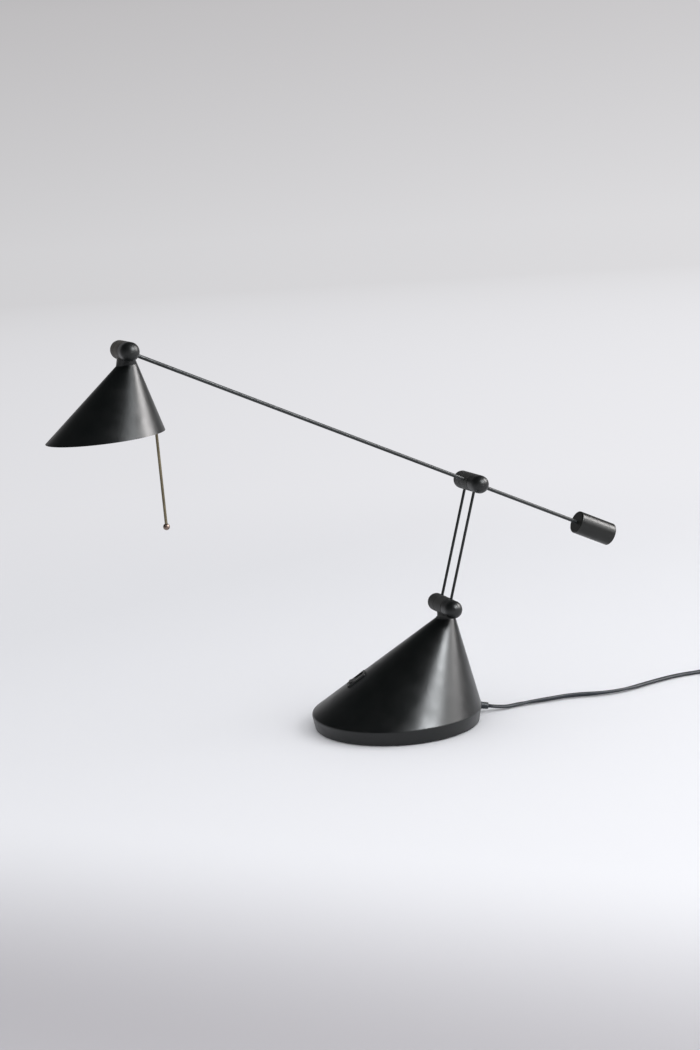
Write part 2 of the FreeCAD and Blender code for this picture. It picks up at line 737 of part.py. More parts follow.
def make_knuckles(prefix, frame, at):
    """The outer thirds of a barrel, bored for the bolt and hollow for its nuts."""
    inner = "(hub_half + insulator_thickness + side_gap)"
    profile = [
        ("bolt_radius + running_clearance", inner),
        ("barrel_radius - barrel_groove", inner),
        ("barrel_radius", inner + " + barrel_groove"),
        ("barrel_radius", "barrel_half - barrel_groove"),
        ("barrel_radius - barrel_groove", "barrel_half"),
        ("spigot_radius", "barrel_half"),
        ("spigot_radius", "barrel_half - spigot_depth"),
        ("nut_pocket", "barrel_half - spigot_depth"),
        ("nut_pocket", "nut_seat"),
        ("bolt_radius + running_clearance", "nut_seat"),
    ]
    return [turned("%s_knuckle_%s_turned" % (prefix, side), frame, at, turn, profile)
            for side, turn, sign in SIDES]


def make_caps(prefix, frame, at):
    """Domed ends that plug into the knuckles."""
    caps = []
    for side, turn, sign in SIDES:
        dome = solid("Sphere", "%s_dome_%s" % (prefix, side), frame,
                     (at[0], "%s * barrel_half" % sign, at[2]), turn, Radius="barrel_radius")
        dome.Angle1 = 0
        spigot = tube("%s_spigot_%s" % (prefix, side), frame,
                      (at[0], "%s * (barrel_half - spigot_depth)" % sign, at[2]), turn,
                      "spigot_radius", "nut_pocket", "spigot_depth")
        caps.append(join("%s_cap_%s" % (prefix, side), dome, spigot))
    node(group(prefix + "_end_caps", *caps), prefix.lower() + "_end_caps")


def make_lower_barrel(strut_pair):
    origin = ("0", "0", "0")
    bolt = node(make_bolt("Lower", turret, origin), "lower_bolt")
    collar_foot = "cone_top + bushing_flange + swivel_gap - pivot_height"
    collar = solid("Cylinder", "Hub_collar", turret, ("0", "0", collar_foot),
                   Radius="collar_radius", Height="-(%s)" % collar_foot)
    hub = join("Lower_hub_block", make_hub("Lower", turret, origin), collar)
    stem_room = solid("Cylinder", "Stem_room", turret, ("0", "0", "-barrel_radius - stem_length"),
                      Radius="stem_radius", Height="barrel_radius + stem_length + " + STEM_TOP)
    node(cut("Lower_hub", hub, bolt, stem_room), "lower_hub")
    knuckles = make_knuckles("Lower", struts, origin)
    for (side, turn, sign), knuckle, strut in zip(SIDES, knuckles, strut_pair):
        node(cut("Lower_knuckle_" + side, knuckle, strut), "lower_knuckle_" + side)
    make_caps("Lower", struts, origin)


def make_struts():
    pair = []
    for side, turn, sign in SIDES:
        strut = solid("Cylinder", "Strut_" + side, struts,
                      ("0", "%s * strut_spacing / 2" % sign, "strut_end"),
                      Radius="strut_radius", Height="strut_span - 2 * strut_end")
        pair.append(node(strut, "strut_" + side))
    return pair


def make_upper_barrel(rod, strut_pair):
    origin = ("0", "0", "0")
    bolt = node(cut("Upper_bolt_drilled", make_bolt("Upper", arm, origin), rod), "upper_bolt")
    lock = solid("Cylinder", "Arm_lock_screw", arm, ("lock_screw_offset", "0", "arm_radius"),
                 Radius="lock_screw_radius", Height="lock_screw_length")
    node(lock, "arm_lock_screw")
    lock_way = solid("Cylinder", "Lock_way", arm, ("lock_screw_offset", "0", "0"),
                     Radius="lock_screw_radius", Height="barrel_radius")
    bolt_way = solid("Cylinder", "Upper_bolt_way", arm, ("0", "-barrel_half", "0"), "rotationx(-90)",
                     Radius="bolt_radius", Height="2 * barrel_half")
    node(cut("Upper_hub", make_hub("Upper", arm, origin), bolt_way, rod, lock_way), "upper_hub")
    at = ("0", "0", "strut_span")
    knuckles = make_knuckles("Upper", struts, at)
    for (side, turn, sign), knuckle, strut in zip(SIDES, knuckles, strut_pair):
        node(cut("Upper_knuckle_" + side, knuckle, strut), "upper_knuckle_" + side)
    make_caps("Upper", struts, at)


def make_arm():
    """Thin tube with its insulated inner conductor, from the head barrel to the counterweight."""
    start = "rod_stop - arm_reach"
    length = "arm_reach - rod_stop + weight_start + weight_length - weight_rod_inset"
    rod = solid("Cylinder", "Arm_rod_outside", arm, **along_x(start), Radius="arm_radius", Height=length)
    bore = solid("Cylinder", "Arm_rod_bore", arm, **along_x(start), Radius="arm_bore", Height=length)
    node(cut("Arm_rod", rod, bore), "arm_rod")
    core = solid("Cylinder", "Arm_core", arm, **along_x(start),
                 Radius="arm_bore - core_clearance", Height=length)
    node(core, "arm_core")
    return rod


def make_counterweight():
    bore = "(arm_radius + running_clearance)"
    body = tube("Counterweight_body", arm, ("weight_start", "0", "0"), "rotationy(90)",
                "weight_radius", bore, "weight_length")
    doc.recompute()
    rounding = body.newObject("PartDesign::Fillet", "Counterweight_rounding")
    turning = body.Group[1]
    rims = ["Edge%d" % index for index, edge in enumerate(turning.Shape.Edges, start=1)
            if isinstance(edge.Curve, Part.Circle)
            and abs(edge.Curve.Radius - number("weight_radius")) < SAME]
    rounding.Base = (turning, rims)
    bind(rounding, Radius="weight_round")
    screw_top = "-%s - running_clearance" % bore
    at = ("weight_start + weight_length / 2", "0", "%s - weight_screw_length" % screw_top)
    screw = solid("Cylinder", "Counterweight_screw", arm, at,
                  Radius="weight_screw_radius", Height="weight_screw_length")
    node(screw, "counterweight_screw")
    way = solid("Cylinder", "Weight_screw_way", arm,
                ("weight_start + weight_length / 2", "0", "-weight_radius"),
                Radius="weight_screw_radius", Height="weight_radius")
    node(cut("Counterweight", body, way), "counterweight")


def make_head_barrel(rod):
    at = ("-arm_reach", "0", "0")
    bolt = node(make_bolt("Head", arm, at), "head_bolt")
    node(cut("Head_hub", make_hub("Head", arm, at), bolt, rod), "head_hub")
    origin = ("0", "0", "0")
    for (side, turn, sign), knuckle in zip(SIDES, make_knuckles("Head", head, origin)):
        node(knuckle, "head_knuckle_" + side)
    make_caps("Head", head, origin)


def make_shade():
    """Oblique cone of thin sheet, hung from the head barrel by a saddle and a hollow screw."""
    top = ("0", "-shade_neck_drop", "shade_neck_radius")
    rim = ("-shade_rim_offset", "-shade_drop", "shade_rim_radius")
    outside = oblique_cone("Shade_outside", head, top, rim, "0", "1")
    spread = "(shade_rim_radius - shade_neck_radius)"
    inset = (sheet_inset(spread + " + shade_rim_offset", SHADE_FALL, "shade_wall"),
             sheet_inset(spread + " - shade_rim_offset", SHADE_FALL, "shade_wall"))
    inside = oblique_cone("Shade_inside", head, top, rim,
                          "shade_top_thickness / %s" % SHADE_FALL, "1 + overrun / %s" % SHADE_FALL, inset)

    thread_top = "(barrel_radius + hub_clearance + screw_end_gap)"
    shank = "(-%s - %s + bracket_sheet)" % (thread_top, SHADE_INNER_TOP)
    screw = turned("Shade_screw", head, ("0", "0", SHADE_INNER_TOP + " - bracket_sheet"), "rotationz(0)", [
        ("shade_screw_bore", "-shade_screw_head_height"), ("shade_screw_head", "-shade_screw_head_height"),
        ("shade_screw_head", "0"), ("shade_screw_radius", "0"), ("shade_screw_radius", shank),
        ("shade_screw_bore", shank),
    ])
    node(screw, "shade_screw")
    screw_way = solid("Cylinder", "Shade_screw_way", head, ("0", "0", "-shade_drop"),
                      Radius="shade_screw_radius", Height="shade_drop - %s" % thread_top)
    node(cut("Shade", outside, inside, screw_way), "shade")

    oval = solid("Ellipse", "Saddle_oval", head, ("0", "0", "-saddle_top"), "rotationz(90)",
                 MajorRadius="saddle_length", MinorRadius="saddle_width")
    ring = solid("Circle", "Saddle_ring", head, ("0", "0", "-shade_neck_drop"), "rotationz(90)",
                 Radius="shade_neck_radius")
    block = doc.addObject("Part::Loft", "Saddle_block")
    block.Sections = [oval, ring]
    block.Solid = True
    barrel = solid("Cylinder", "Saddle_barrel_room", head, ("0", "-2 * saddle_length", "0"),
                   "rotationx(-90)", Radius="barrel_radius", Height="4 * saddle_length")
    hub_half = "(hub_half + insulator_thickness + side_gap)"
    hub = solid("Cylinder", "Saddle_hub_room", head, ("0", "-" + hub_half, "0"), "rotationx(-90)",
                Radius="barrel_radius + hub_clearance", Height="2 * " + hub_half)
    slot = solid("Box", "Saddle_arm_slot", head,
                 ("shade_screw_radius + slot_clearance", "-arm_radius - slot_clearance",
                  "saddle_floor - shade_neck_drop"),
                 Length="saddle_length", Width="2 * (arm_radius + slot_clearance)",
                 Height="shade_neck_drop")
    node(cut("Shade_saddle", block, barrel, hub, screw_way, slot), "shade_saddle")
    return inside


def make_lampholder():
    """Ceramic holder on a bent strap under the shade's hollow screw, and its capsule bulb."""
    tab_reach = "(holder_depth / 2 + bracket_sheet)"
    tab = solid("Box", "Bracket_tab", head,
                ("-bracket_width / 2", "-bracket_width / 2", SHADE_INNER_TOP + " - bracket_sheet"),
                Length="bracket_width / 2 + " + tab_reach, Width="bracket_width", Height="bracket_sheet")
    strap = solid("Box", "Bracket_strap", lamp, ("-" + tab_reach, "-bracket_width / 2", "-2 * bracket_sheet"),
                  Length="bracket_sheet", Width="bracket_width", Height="bracket_length + 2 * bracket_sheet")
    ceiling = solid("Box", "Bracket_trim", head,
                    ("-shade_drop", "-shade_drop", SHADE_INNER_TOP),
                    Length="2 * shade_drop", Width="2 * shade_drop", Height="shade_drop")
    screw_way = solid("Cylinder", "Bracket_hole", head, ("0", "0", "-shade_drop"),
                      Radius="shade_screw_radius", Height="shade_drop")
    node(cut("Lampholder_bracket", join("Bracket_bent", tab, strap), ceiling, screw_way), "lampholder_bracket")

    block = centred_box("Holder_block", lamp, ("0", "0", "holder_start"),
                        "holder_depth", "holder_width", "holder_length")
    pins = []
    pin_start = "(holder_start + holder_length - pin_depth)"
    pin_length = "(pin_depth + bulb_gap + bulb_pinch / 2)"
    for side, turn, sign in SIDES:
        pins.append(solid("Cylinder", "Bulb_pin_" + side, lamp,
                          ("0", "%s * pin_spacing / 2" % sign, pin_start),
                          Radius="pin_radius", Height=pin_length))
    node(cut("Lampholder", block, *pins), "lampholder")
    pin_pair = node(group("Bulb_pins", *pins), "bulb_pins")

    glass_start = "(holder_start + holder_length + bulb_gap)"
    pinch = centred_box("Bulb_pinch", lamp, ("0", "0", glass_start),
                        "bulb_radius", "pinch_width", "bulb_pinch + overrun")
    capsule_start = "(%s + bulb_pinch)" % glass_start
    capsule_length = "(bulb_length - bulb_pinch - bulb_radius)"
    capsule = solid("Cylinder", "Bulb_capsule", lamp, ("0", "0", capsule_start),
                    Radius="bulb_radius", Height=capsule_length)
    dome = solid("Sphere", "Bulb_dome", lamp, ("0", "0", capsule_start + " + " + capsule_length),
                 Radius="bulb_radius")
    dome.Angle1 = 0
    node(cut("Bulb_glass", join("Bulb_blown", pinch, capsule, dome), pin_pair), "bulb_glass")


def make_handle(shade_inside):
    """Brass rod that hangs from a lug inside the shade, with a ball to hold."""
    rod = solid("Cylinder", "Handle_rod", handle, (0, 0, 0),
                Radius="handle_radius", Height="handle_length - ball_radius + ball_bore_depth")
    node(rod, "handle_rod")
    ball = solid("Sphere", "Handle_ball_round", handle, ("0", "0", "handle_length"), Radius="ball_radius")
    node(cut("Handle_ball", ball, rod), "handle_ball")
    lug = solid("Box", "Clip_block", head,
                ("handle_offset - handle_radius - clip_back", "-clip_width / 2",
                 "-handle_start - clip_height - clip_drop"),
                Length="shade_rim_radius", Width="clip_width", Height="clip_height")
    node(cut("Handle_clip", common("Clip_on_wall", lug, shade_inside), rod), "handle_clip")


def arc_between(start, start_tangent, end):
    """The circular arc that leaves start along its tangent and reaches end."""
    chord = end - start
    away = chord - start_tangent * chord.dot(start_tangent)
    if away.Length < 1e-6 * chord.Length:
        return Part.LineSegment(start, end), start_tangent
    turn = 2 * math.atan2(away.Length, chord.dot(start_tangent))
    radius = chord.Length / (2 * math.sin(turn / 2))
    side = away.normalize()
    half = turn / 2
    middle = start + start_tangent * (radius * math.sin(half)) + side * (radius * (1 - math.cos(half)))
    return Part.Arc(start, middle, end), start_tangent * math.cos(turn) + side * math.sin(turn)


def biarc(start, start_tangent, end, end_tangent):
    """Two arcs that meet smoothly and join two points along their tangents."""
    chord = end - start
    both = start_tangent + end_tangent
    twice = 2 * (1 - start_tangent.dot(end_tangent))
    along_both = chord.dot(both)
    if twice < 1e-9:
        reach = chord.dot(chord) / (2 * along_both)
    else:
        reach = (math.sqrt(along_both ** 2 + twice * chord.dot(chord)) - along_both) / twice
    meeting = (start + start_tangent * reach + end - end_tangent * reach) * 0.5
    first, tangent = arc_between(start, start_tangent, meeting)
    second, tangent = arc_between(meeting, tangent, end)
    return [first, second]


def rounded_route(points):
    """Straight runs joined by tangent arcs, each as large as its two runs allow."""
    edges = []
    radii = []
    here = points[0]
    for before, corner, after in zip(points, points[1:], points[2:]):
        arriving = corner - before
        leaving = after - corner
        half_turn = arriving.getAngle(leaving) / 2
        trim = 0.45 * min(arriving.Length, leaving.Length)
        radii.append(trim / math.tan(half_turn))
        start = corner - arriving.normalize() * trim
        end = corner + leaving.normalize() * trim
        inward = ((start + end) * 0.5 - corner).normalize()
        middle = corner + inward * (radii[-1] / math.cos(half_turn) - radii[-1])
        edges.append(Part.LineSegment(here, start))
        edges.append(Part.Arc(start, middle, end))
        here = end
    edges.append(Part.LineSegment(here, points[-1]))
    return edges, radii


def swept(curves, radius):
    """A round tube along a smooth path."""
    path = Part.Wire([curve.toShape() for curve in curves])
    start = path.Vertexes[0].Point
    edge = path.OrderedEdges[0]
    heading = edge.tangentAt(edge.FirstParameter)
    ring = Part.Wire(Part.makeCircle(radius, start, heading))
    pipe = path.makePipeShell([ring], True, False)
    return pipe, path.Length


def coil_points(outer_radius, pitch, turns_in, turns_out, centre, low):
    """Points and tangents every quarter turn, wound clockwise inwards, up a layer and outwards."""
    inner_radius = outer_radius - pitch * turns_in
    rise = pitch
    quarters = round(4 * (turns_in + 0.5 + turns_out))

    def position(quarter):
        turn = quarter / 4
        angle = math.radians(90 - 360 * turn)
        climb = min(max((turn - turns_in) / 0.5, 0), 1)
        spiral = max(turns_in - turn, 0) + max(turn - turns_in - 0.5, 0)
        radius = inner_radius + pitch * (spiral - math.sin(math.pi * climb) / (2 * math.pi))
        height = low + rise * (climb - math.sin(2 * math.pi * climb) / (2 * math.pi))
        return Vector(centre[0] + radius * math.cos(angle), centre[1] + radius * math.sin(angle), height)

    points = [position(quarter) for quarter in range(quarters + 1)]
    step = 0.01
    tangents = [(position(quarter + step) - position(quarter - step)).normalize()
                for quarter in range(quarters + 1)]
    tangents[0] = Vector(1, 0, 0)
    tangents[-1] = Vector(0, -1, 0)
    return points, tangents


def least_gap(curves, diameter):
    """Smallest clear distance between stretches of a tube that are not neighbours along it."""
    samples = []
    for curve in curves:
        edge = curve.toShape()
        count = max(2, int(edge.Length / 2))
        samples.extend(edge.discretize(count + 1)[:-1])
    stations = [0]
    for before, after in zip(samples, samples[1:]):
        stations.append(stations[-1] + before.distanceToPoint(after))
    least = math.inf
    for index, point in enumerate(samples):
        for other in range(index + 1, len(samples)):
            if stations[other] - stations[index] > 4 * diameter:
                least = min(least, point.distanceToPoint(samples[other]))
    return least - diameter


def cord_node(label, curves):
    pipe, length = swept(curves, CORD_RADIUS)
    print("%s: %.1f mm long, volume %.4f of section times length"
          % (label, length, pipe.Volume / (math.pi * CORD_RADIUS ** 2 * length)))
    feature = doc.addObject("Part::Feature", label.capitalize())
    feature.Shape = pipe
    node(feature, label)


def make_cord():
    """Flex from the strain relief to the coil, the coil and the plug."""
    tip = inlet.Placement.multVec(Vector(number("relief_length"), 0, 0))
    coil, tangents = coil_points(COIL_OUTER_RADIUS, COIL_PITCH, COIL_TURNS_IN, COIL_TURNS_OUT,
                                 COIL_CENTRE, CORD_RADIUS)
    entry = coil[0] - Vector(CORD_DIAMETER, 0, 0)
    first_run = inlet.Placement.Rotation.multVec(Vector(FIRST_RUN, 0, 0))
    corners = [tip, tip + first_run] + [Vector(*point) for point in LEAD_ROUTE] + [entry]
    runs, radii = rounded_route(corners)
    print("cord_lead radii:", " ".join("%.0f" % radius for radius in radii))
    cord_node("cord_lead", runs)

    curves = [Part.LineSegment(entry, coil[0])]
    for index in range(len(coil) - 1):
        curves += biarc(coil[index], tangents[index], coil[index + 1], tangents[index + 1])
    end = coil[-1]
    leaving = end - Vector(0, TAIL_LEVEL, 0)
    low = Vector(end.x + TAIL_OFFSET, end.y - TAIL_LOW_POINT, CORD_RADIUS)
    plug_height = number("plug_height") / 2
    last = Vector(low.x, end.y - TAIL_LENGTH, plug_height)
    straight = last + Vector(0, CORD_DIAMETER, 0)
    ahead = Vector(0, -1, 0)
    curves.append(Part.LineSegment(end, leaving))
    curves += biarc(leaving, ahead, low, ahead)
    curves += biarc(low, ahead, straight, ahead)
    curves.append(Part.LineSegment(straight, last))
    print("cord_coil least gap to itself: %.2f mm" % least_gap(curves, CORD_DIAMETER))
    cord_node("cord_coil", curves)
    make_plug(last)


def make_plug(entry):
    """Flat two pin mains plug that lies beside the coil."""
    frame = doc.addObject("Part::LocalCoordinateSystem", "Frame_plug")
    frame.Placement = Placement(entry, FreeCAD.Rotation(Vector(0, 0, 1), -90))
    body = padded("Plug_moulding", frame, (0, 0, 0), "rotationz(0)", "XY_Plane", [
        ("0", "-plug_neck / 2"), ("plug_collar", "-plug_neck / 2"),
        ("plug_shoulder", "-plug_width / 2"), ("plug_length - plug_corner_length", "-plug_width / 2"),
        ("plug_length", "-plug_width / 2 + plug_corner_width"),
        ("plug_length", "plug_width / 2 - plug_corner_width"),
        ("plug_length - plug_corner_length", "plug_width / 2"), ("plug_shoulder", "plug_width / 2"),
        ("plug_collar", "plug_neck / 2"), ("0", "plug_neck / 2"),
    ], "plug_height")
    rounded = round_edges("Plug_body", body, "plug_round", lambda edge: edge.BoundBox.ZLength < SAME)
    node(rounded, "plug_body")
    pins = [solid("Cylinder", "Plug_pin_" + side, frame,
                  ("plug_length", "%s * plug_pin_spacing / 2" % sign, "0"), "rotationy(90)",
                  Radius="plug_pin_radius", Height="plug_pin_length")
            for side, turn, sign in SIDES]
    node(group("Plug_pins", *pins), "plug_pins")


def check_and_write():
    """Refuses to write anything unless every object and every piece is sound."""
    doc.recompute()
    failed = [thing.Name for thing in doc.Objects if "Invalid" in thing.State or "Error" in thing.State]
    if failed:
        raise RuntimeError("objects failed: " + ", ".join(failed))
    for thing in nodes:
        if thing.Shape.isNull() or not thing.Shape.isValid() or not thing.Shape.Solids:
            raise RuntimeError("piece is not a sound solid: " + thing.Label)
    os.makedirs("parts", exist_ok=True)
    for thing in nodes:
        thing.Shape.exportStep(os.path.join("parts", thing.Label + ".step"))
    print("%d pieces written" % len(nodes))


base_screws = make_base_screws()
make_base_shell(base_screws)
transformer_screws = make_transformer()
make_floor(base_screws, transformer_screws)
make_terminal_block()
make_switch()
make_strain_relief()
make_swivel()
strut_rods = make_struts()
make_lower_barrel(strut_rods)
arm_tube = make_arm()
make_upper_barrel(arm_tube, strut_rods)
make_counterweight()
make_head_barrel(arm_tube)
inside_of_shade = make_shade()
make_lampholder()
make_handle(inside_of_shade)
doc.recompute()
make_cord()
check_and_write()
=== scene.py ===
import math

import bpy
from mathutils import Matrix, Vector


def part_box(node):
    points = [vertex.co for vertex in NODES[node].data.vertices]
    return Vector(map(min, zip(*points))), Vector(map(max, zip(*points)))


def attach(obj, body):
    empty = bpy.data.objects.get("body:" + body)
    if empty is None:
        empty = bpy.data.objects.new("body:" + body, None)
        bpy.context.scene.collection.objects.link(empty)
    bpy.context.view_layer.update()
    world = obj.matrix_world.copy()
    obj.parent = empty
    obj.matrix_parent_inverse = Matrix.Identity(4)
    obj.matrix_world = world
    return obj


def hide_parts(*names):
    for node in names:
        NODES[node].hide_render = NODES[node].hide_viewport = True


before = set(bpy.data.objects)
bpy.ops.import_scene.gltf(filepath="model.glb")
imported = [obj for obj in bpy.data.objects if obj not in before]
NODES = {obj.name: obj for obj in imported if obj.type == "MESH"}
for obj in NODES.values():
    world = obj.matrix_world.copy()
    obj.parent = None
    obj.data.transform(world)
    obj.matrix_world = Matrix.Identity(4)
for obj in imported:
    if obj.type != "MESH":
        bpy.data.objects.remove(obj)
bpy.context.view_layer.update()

# Counterweight balance desk lamp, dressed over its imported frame. Metres, +Z up.

# Camera, at the photograph's place and angle
CAMERA_PLACE = (-0.0467, -1.5498, 0.4564)
CAMERA_AXES = ((0.998, -0.019, -0.061), (0.063, 0.168, 0.984), (-0.009, -0.986, 0.169))
CAMERA_LENS = 58.32
CAMERA_SENSOR = 36.0
CAMERA_CLIP = (0.05, 100)

# Directions of the swung arm, its rods and its pivots
SWING = math.radians(18.5)
PIVOT_AXIS = Vector((-math.sin(SWING), math.cos(SWING), 0))
ARM_AXIS = Vector((-0.85947, -0.28758, 0.42262))
STRUT_AXIS = Vector((0.2614, 0.08746, 0.96126))
HANDLE_AXIS = Vector((0.05, 0.0, 1.0))

# Bulb, and the filament that it holds. Its leads are thicker than its wire by a factor; each stands off
# the middle by a gap and bends at a shoulder on its way up to its foot.
BULB_AXIS = Vector((-0.3474, -0.1162, -0.9305)).normalized()
FILAMENT_CENTRE = Vector((-0.23054, -0.09403, 0.31711))
FILAMENT_LENGTH = 0.0032
FILAMENT_RADIUS = 0.0006
FILAMENT_TURNS = 9
FILAMENT_STEPS = 8
FILAMENT_WIRE = 0.00009
FILAMENT_LEAD_WIRES = 2.4
FILAMENT_LEAD_GAP = 0.002
FILAMENT_SHOULDER = 0.002
FILAMENT_FOOT = 0.0125

# Flex: flat twin cord. It lies flat with its middle at half its thickness.
FLEX_WIDTH = 0.0054
FLEX_THICKNESS = 0.0030
FLEX_FLAT = FLEX_THICKNESS / 2
FLEX_RESOLUTION = 6

# Half of the flex's section: angles round one core, then the valley between the two cores, as shares
# of the core's distance from the middle and of half the thickness
CORE_ANGLES = range(-80, 81, 20)
VALLEY = ((0.35, 0.93), (0.0, 0.84), (-0.35, 0.93))

# Metres from the lamp, and how many degrees the flex has rolled towards its edge there
FLEX_ROLLS = ((0.0, 2), (0.03, 6), (0.06, 44), (0.1, 46), (0.13, 24), (0.17, 6), (0.24, 0))

# Route of the flex: the visible stretch, the coil in two layers and the tail to the plug
LEAD_ROUTE = [
    (0.0873, 0.0154, 0.0057),
    (0.1018, 0.0180, 0.0020),
    (0.1210, 0.0290, 0.0021),
    (0.1460, 0.0350, 0.0027),
    (0.1700, 0.0445, 0.0027),
    (0.2000, 0.0445, 0.0026),
    (0.2260, 0.0535, 0.0024),
    (0.2540, 0.0750, 0.0020),
    (0.2840, 0.0950, 0.0018),
    (0.3120, 0.1035, 0.0016),
    (0.3380, 0.1184, 0.0016),
]
COIL_CENTRE = (0.362, 0.076)
COIL_OUTER_RADIUS = 0.0424
COIL_PITCH = 0.0059
COIL_LAYER = 0.0034
COIL_TURNS_IN = 3.5
COIL_CLIMB = 0.5
COIL_TURNS_OUT = 3.25
POINTS_PER_TURN = 12
TAIL_ROUTE = [
    (0.4029, 0.0640, 0.0050),
    (0.4040, 0.0500, 0.0042),
    (0.4069, 0.0360, 0.0020),
    (0.4069, 0.0260, 0.0032),
    (0.4069, 0.0100, 0.00685),
]

# Shade: its pivot, how far its middle leans out down to its lowest point, and the share of the outward
# direction below which a face counts as looking inwards
SHADE_PIVOT = Vector((-0.21689, -0.08947, 0.36908))
SHADE_LEAN = 0.030
INWARD_SHARE = -0.3

# Floor: a disc just under the lamp
FLOOR_LEVEL = -0.0002
FLOOR_REACH = 40.0
FLOOR_RINGS = 48
FLOOR_SECTORS = 96

# Floor tones: painted shade in front of a soft edge, paler behind it. The edge runs aslant by a share of
# X.
FLOOR_FRONT = (0.415, 0.405, 0.43)
FLOOR_BACK = (0.79, 0.797, 0.83)
FRONT_EDGE = (-0.70, -0.34)
FRONT_SKEW = 0.4

# Lift of the floor's tone, from the near right to the far left: painted light on the near right and
# painted shade on the far left
LIFT_SPAN = (-1.0, 1.0)
LIFT = (1.10, 0.90)
LIFT_SKEW = -1.2

# Glow of the far floor, by metres from the lamp, which runs into the surroundings. The last figure is
# added to the distance before the direction is taken, so that the glow is even near the lamp.
GLOW_START = (0.4, 1.6)
GLOW_SPAN = (1.0, 14.0)
GLOW_TONES = ((0.0, (0.80, 0.80, 0.83)), (1.0, (0.68, 0.675, 0.69)))
GLOW_BEARING = 1.5

# Tones of the surroundings, by height
SKY_TONES = (
    (0.0, (0.68, 0.675, 0.69)),
    (0.13, (0.55, 0.54, 0.55)),
    (0.26, (0.28, 0.28, 0.285)),
    (0.42, (0.075, 0.078, 0.08)),
    (1.0, (0.04, 0.042, 0.043)),
)

# How much lighter the surroundings get to the right, within a reach of straight ahead
SIDE_SLOPE = 0.3
SIDE_REACH = 0.4

# Where the surroundings get dim to either side: begin, end and what is left
SIDE_DIMS = ((-0.26, -0.62, 0.56), (0.3, 0.6, 0.56))

# Even light that fills the shadows
FILL = (0.90, 0.90, 0.905)

# Point that the lights look at
LIGHT_AIM = Vector((0.0, 0.0, 0.15))


def unit_axes(along):
    """A matrix whose Z runs along a direction."""
    along = Vector(along).normalized()
    return along.to_track_quat("Z", "Y").to_matrix()


def new_mesh(name, vertices, faces):
    """A smooth shaded object of its own."""
    mesh = bpy.data.meshes.new(name)
    mesh.from_pydata([tuple(v) for v in vertices], [], faces)
    mesh.update()
    for polygon in mesh.polygons:
        polygon.use_smooth = True
    thing = bpy.data.objects.new(name, mesh)
    bpy.context.scene.collection.objects.link(thing)
    return thing


def make_camera():
    data = bpy.data.cameras.new("Camera")
    data.lens = CAMERA_LENS
    data.sensor_width = CAMERA_SENSOR
    data.clip_start, data.clip_end = CAMERA_CLIP
    camera = bpy.data.objects.new("Camera", data)
    bpy.context.scene.collection.objects.link(camera)
    right, up, back = (Vector(axis).normalized() for axis in CAMERA_AXES)
    turn = Matrix((right, up, back)).transposed()
    camera.matrix_world = Matrix.Translation(CAMERA_PLACE) @ turn.to_4x4()
    bpy.context.scene.camera = camera


make_camera()


def coil_route():
    """Control points of the coil: inwards on the table, then outwards in a second layer."""
    spread = 1 / math.cos(math.pi / POINTS_PER_TURN)
    inner = COIL_OUTER_RADIUS - COIL_PITCH * COIL_TURNS_IN
    points = []
    for step in range(round(POINTS_PER_TURN * (COIL_TURNS_IN + COIL_CLIMB + COIL_TURNS_OUT)) + 1):
        turn = step / POINTS_PER_TURN
        angle = math.radians(90 - 360 * turn)
        climb = min(max((turn - COIL_TURNS_IN) / COIL_CLIMB, 0), 1)
        spiral = max(COIL_TURNS_IN - turn, 0) + max(turn - COIL_TURNS_IN - COIL_CLIMB, 0)
        radius = inner + COIL_PITCH * (spiral - math.sin(math.pi * climb) / (2 * math.pi))
        height = FLEX_FLAT + COIL_LAYER * (climb - math.sin(2 * math.pi * climb) / (2 * math.pi))
        points.append((COIL_CENTRE[0] + spread * radius * math.cos(angle),
                       COIL_CENTRE[1] + spread * radius * math.sin(angle), height))
    return points


def add_spline(curve, route, thickness=1.0):
    """Adds a smooth line along a route to a curve."""
    spline = curve.splines.new("NURBS")
    spline.points.add(len(route) - 1)
    for point, place in zip(spline.points, route):
        point.co = (*place, 1)
        point.radius = thickness
    spline.order_u = 3
    spline.use_endpoint_u = True


def spline_line(route, resolution):
    """The points of a smooth line along a route."""
    curve = bpy.data.curves.new("Route", "CURVE")
    curve.dimensions = "3D"
    curve.resolution_u = resolution
    add_spline(curve, route)
    holder = bpy.data.objects.new("Route", curve)
    mesh = bpy.data.meshes.new_from_object(holder)
    line = [v.co.copy() for v in mesh.vertices]
    bpy.data.meshes.remove(mesh)
    bpy.data.objects.remove(holder)
    bpy.data.curves.remove(curve)
    return line


def flex_section():
    """Outline of the flat flex: two round cores with a shallow valley between them."""
    half = FLEX_THICKNESS / 2
    centre = FLEX_WIDTH / 2 - half
    outline = []
    for side in (1, -1):
        for degrees in CORE_ANGLES:
            angle = math.radians(degrees)
            outline.append((side * (centre + half * math.cos(angle)), side * half * math.sin(angle)))
        for place, height in VALLEY:
            outline.append((side * place * centre, side * height * half))
    return outline


def flex_roll(station):
    """How far the flex has rolled at a distance from the lamp."""
    for (before, low), (after, high) in zip(FLEX_ROLLS, FLEX_ROLLS[1:]):
        if station < after:
            share = (station - before) / (after - before)
            share = share * share * (3 - 2 * share)
            return math.radians(low + (high - low) * share)
    return 0.0


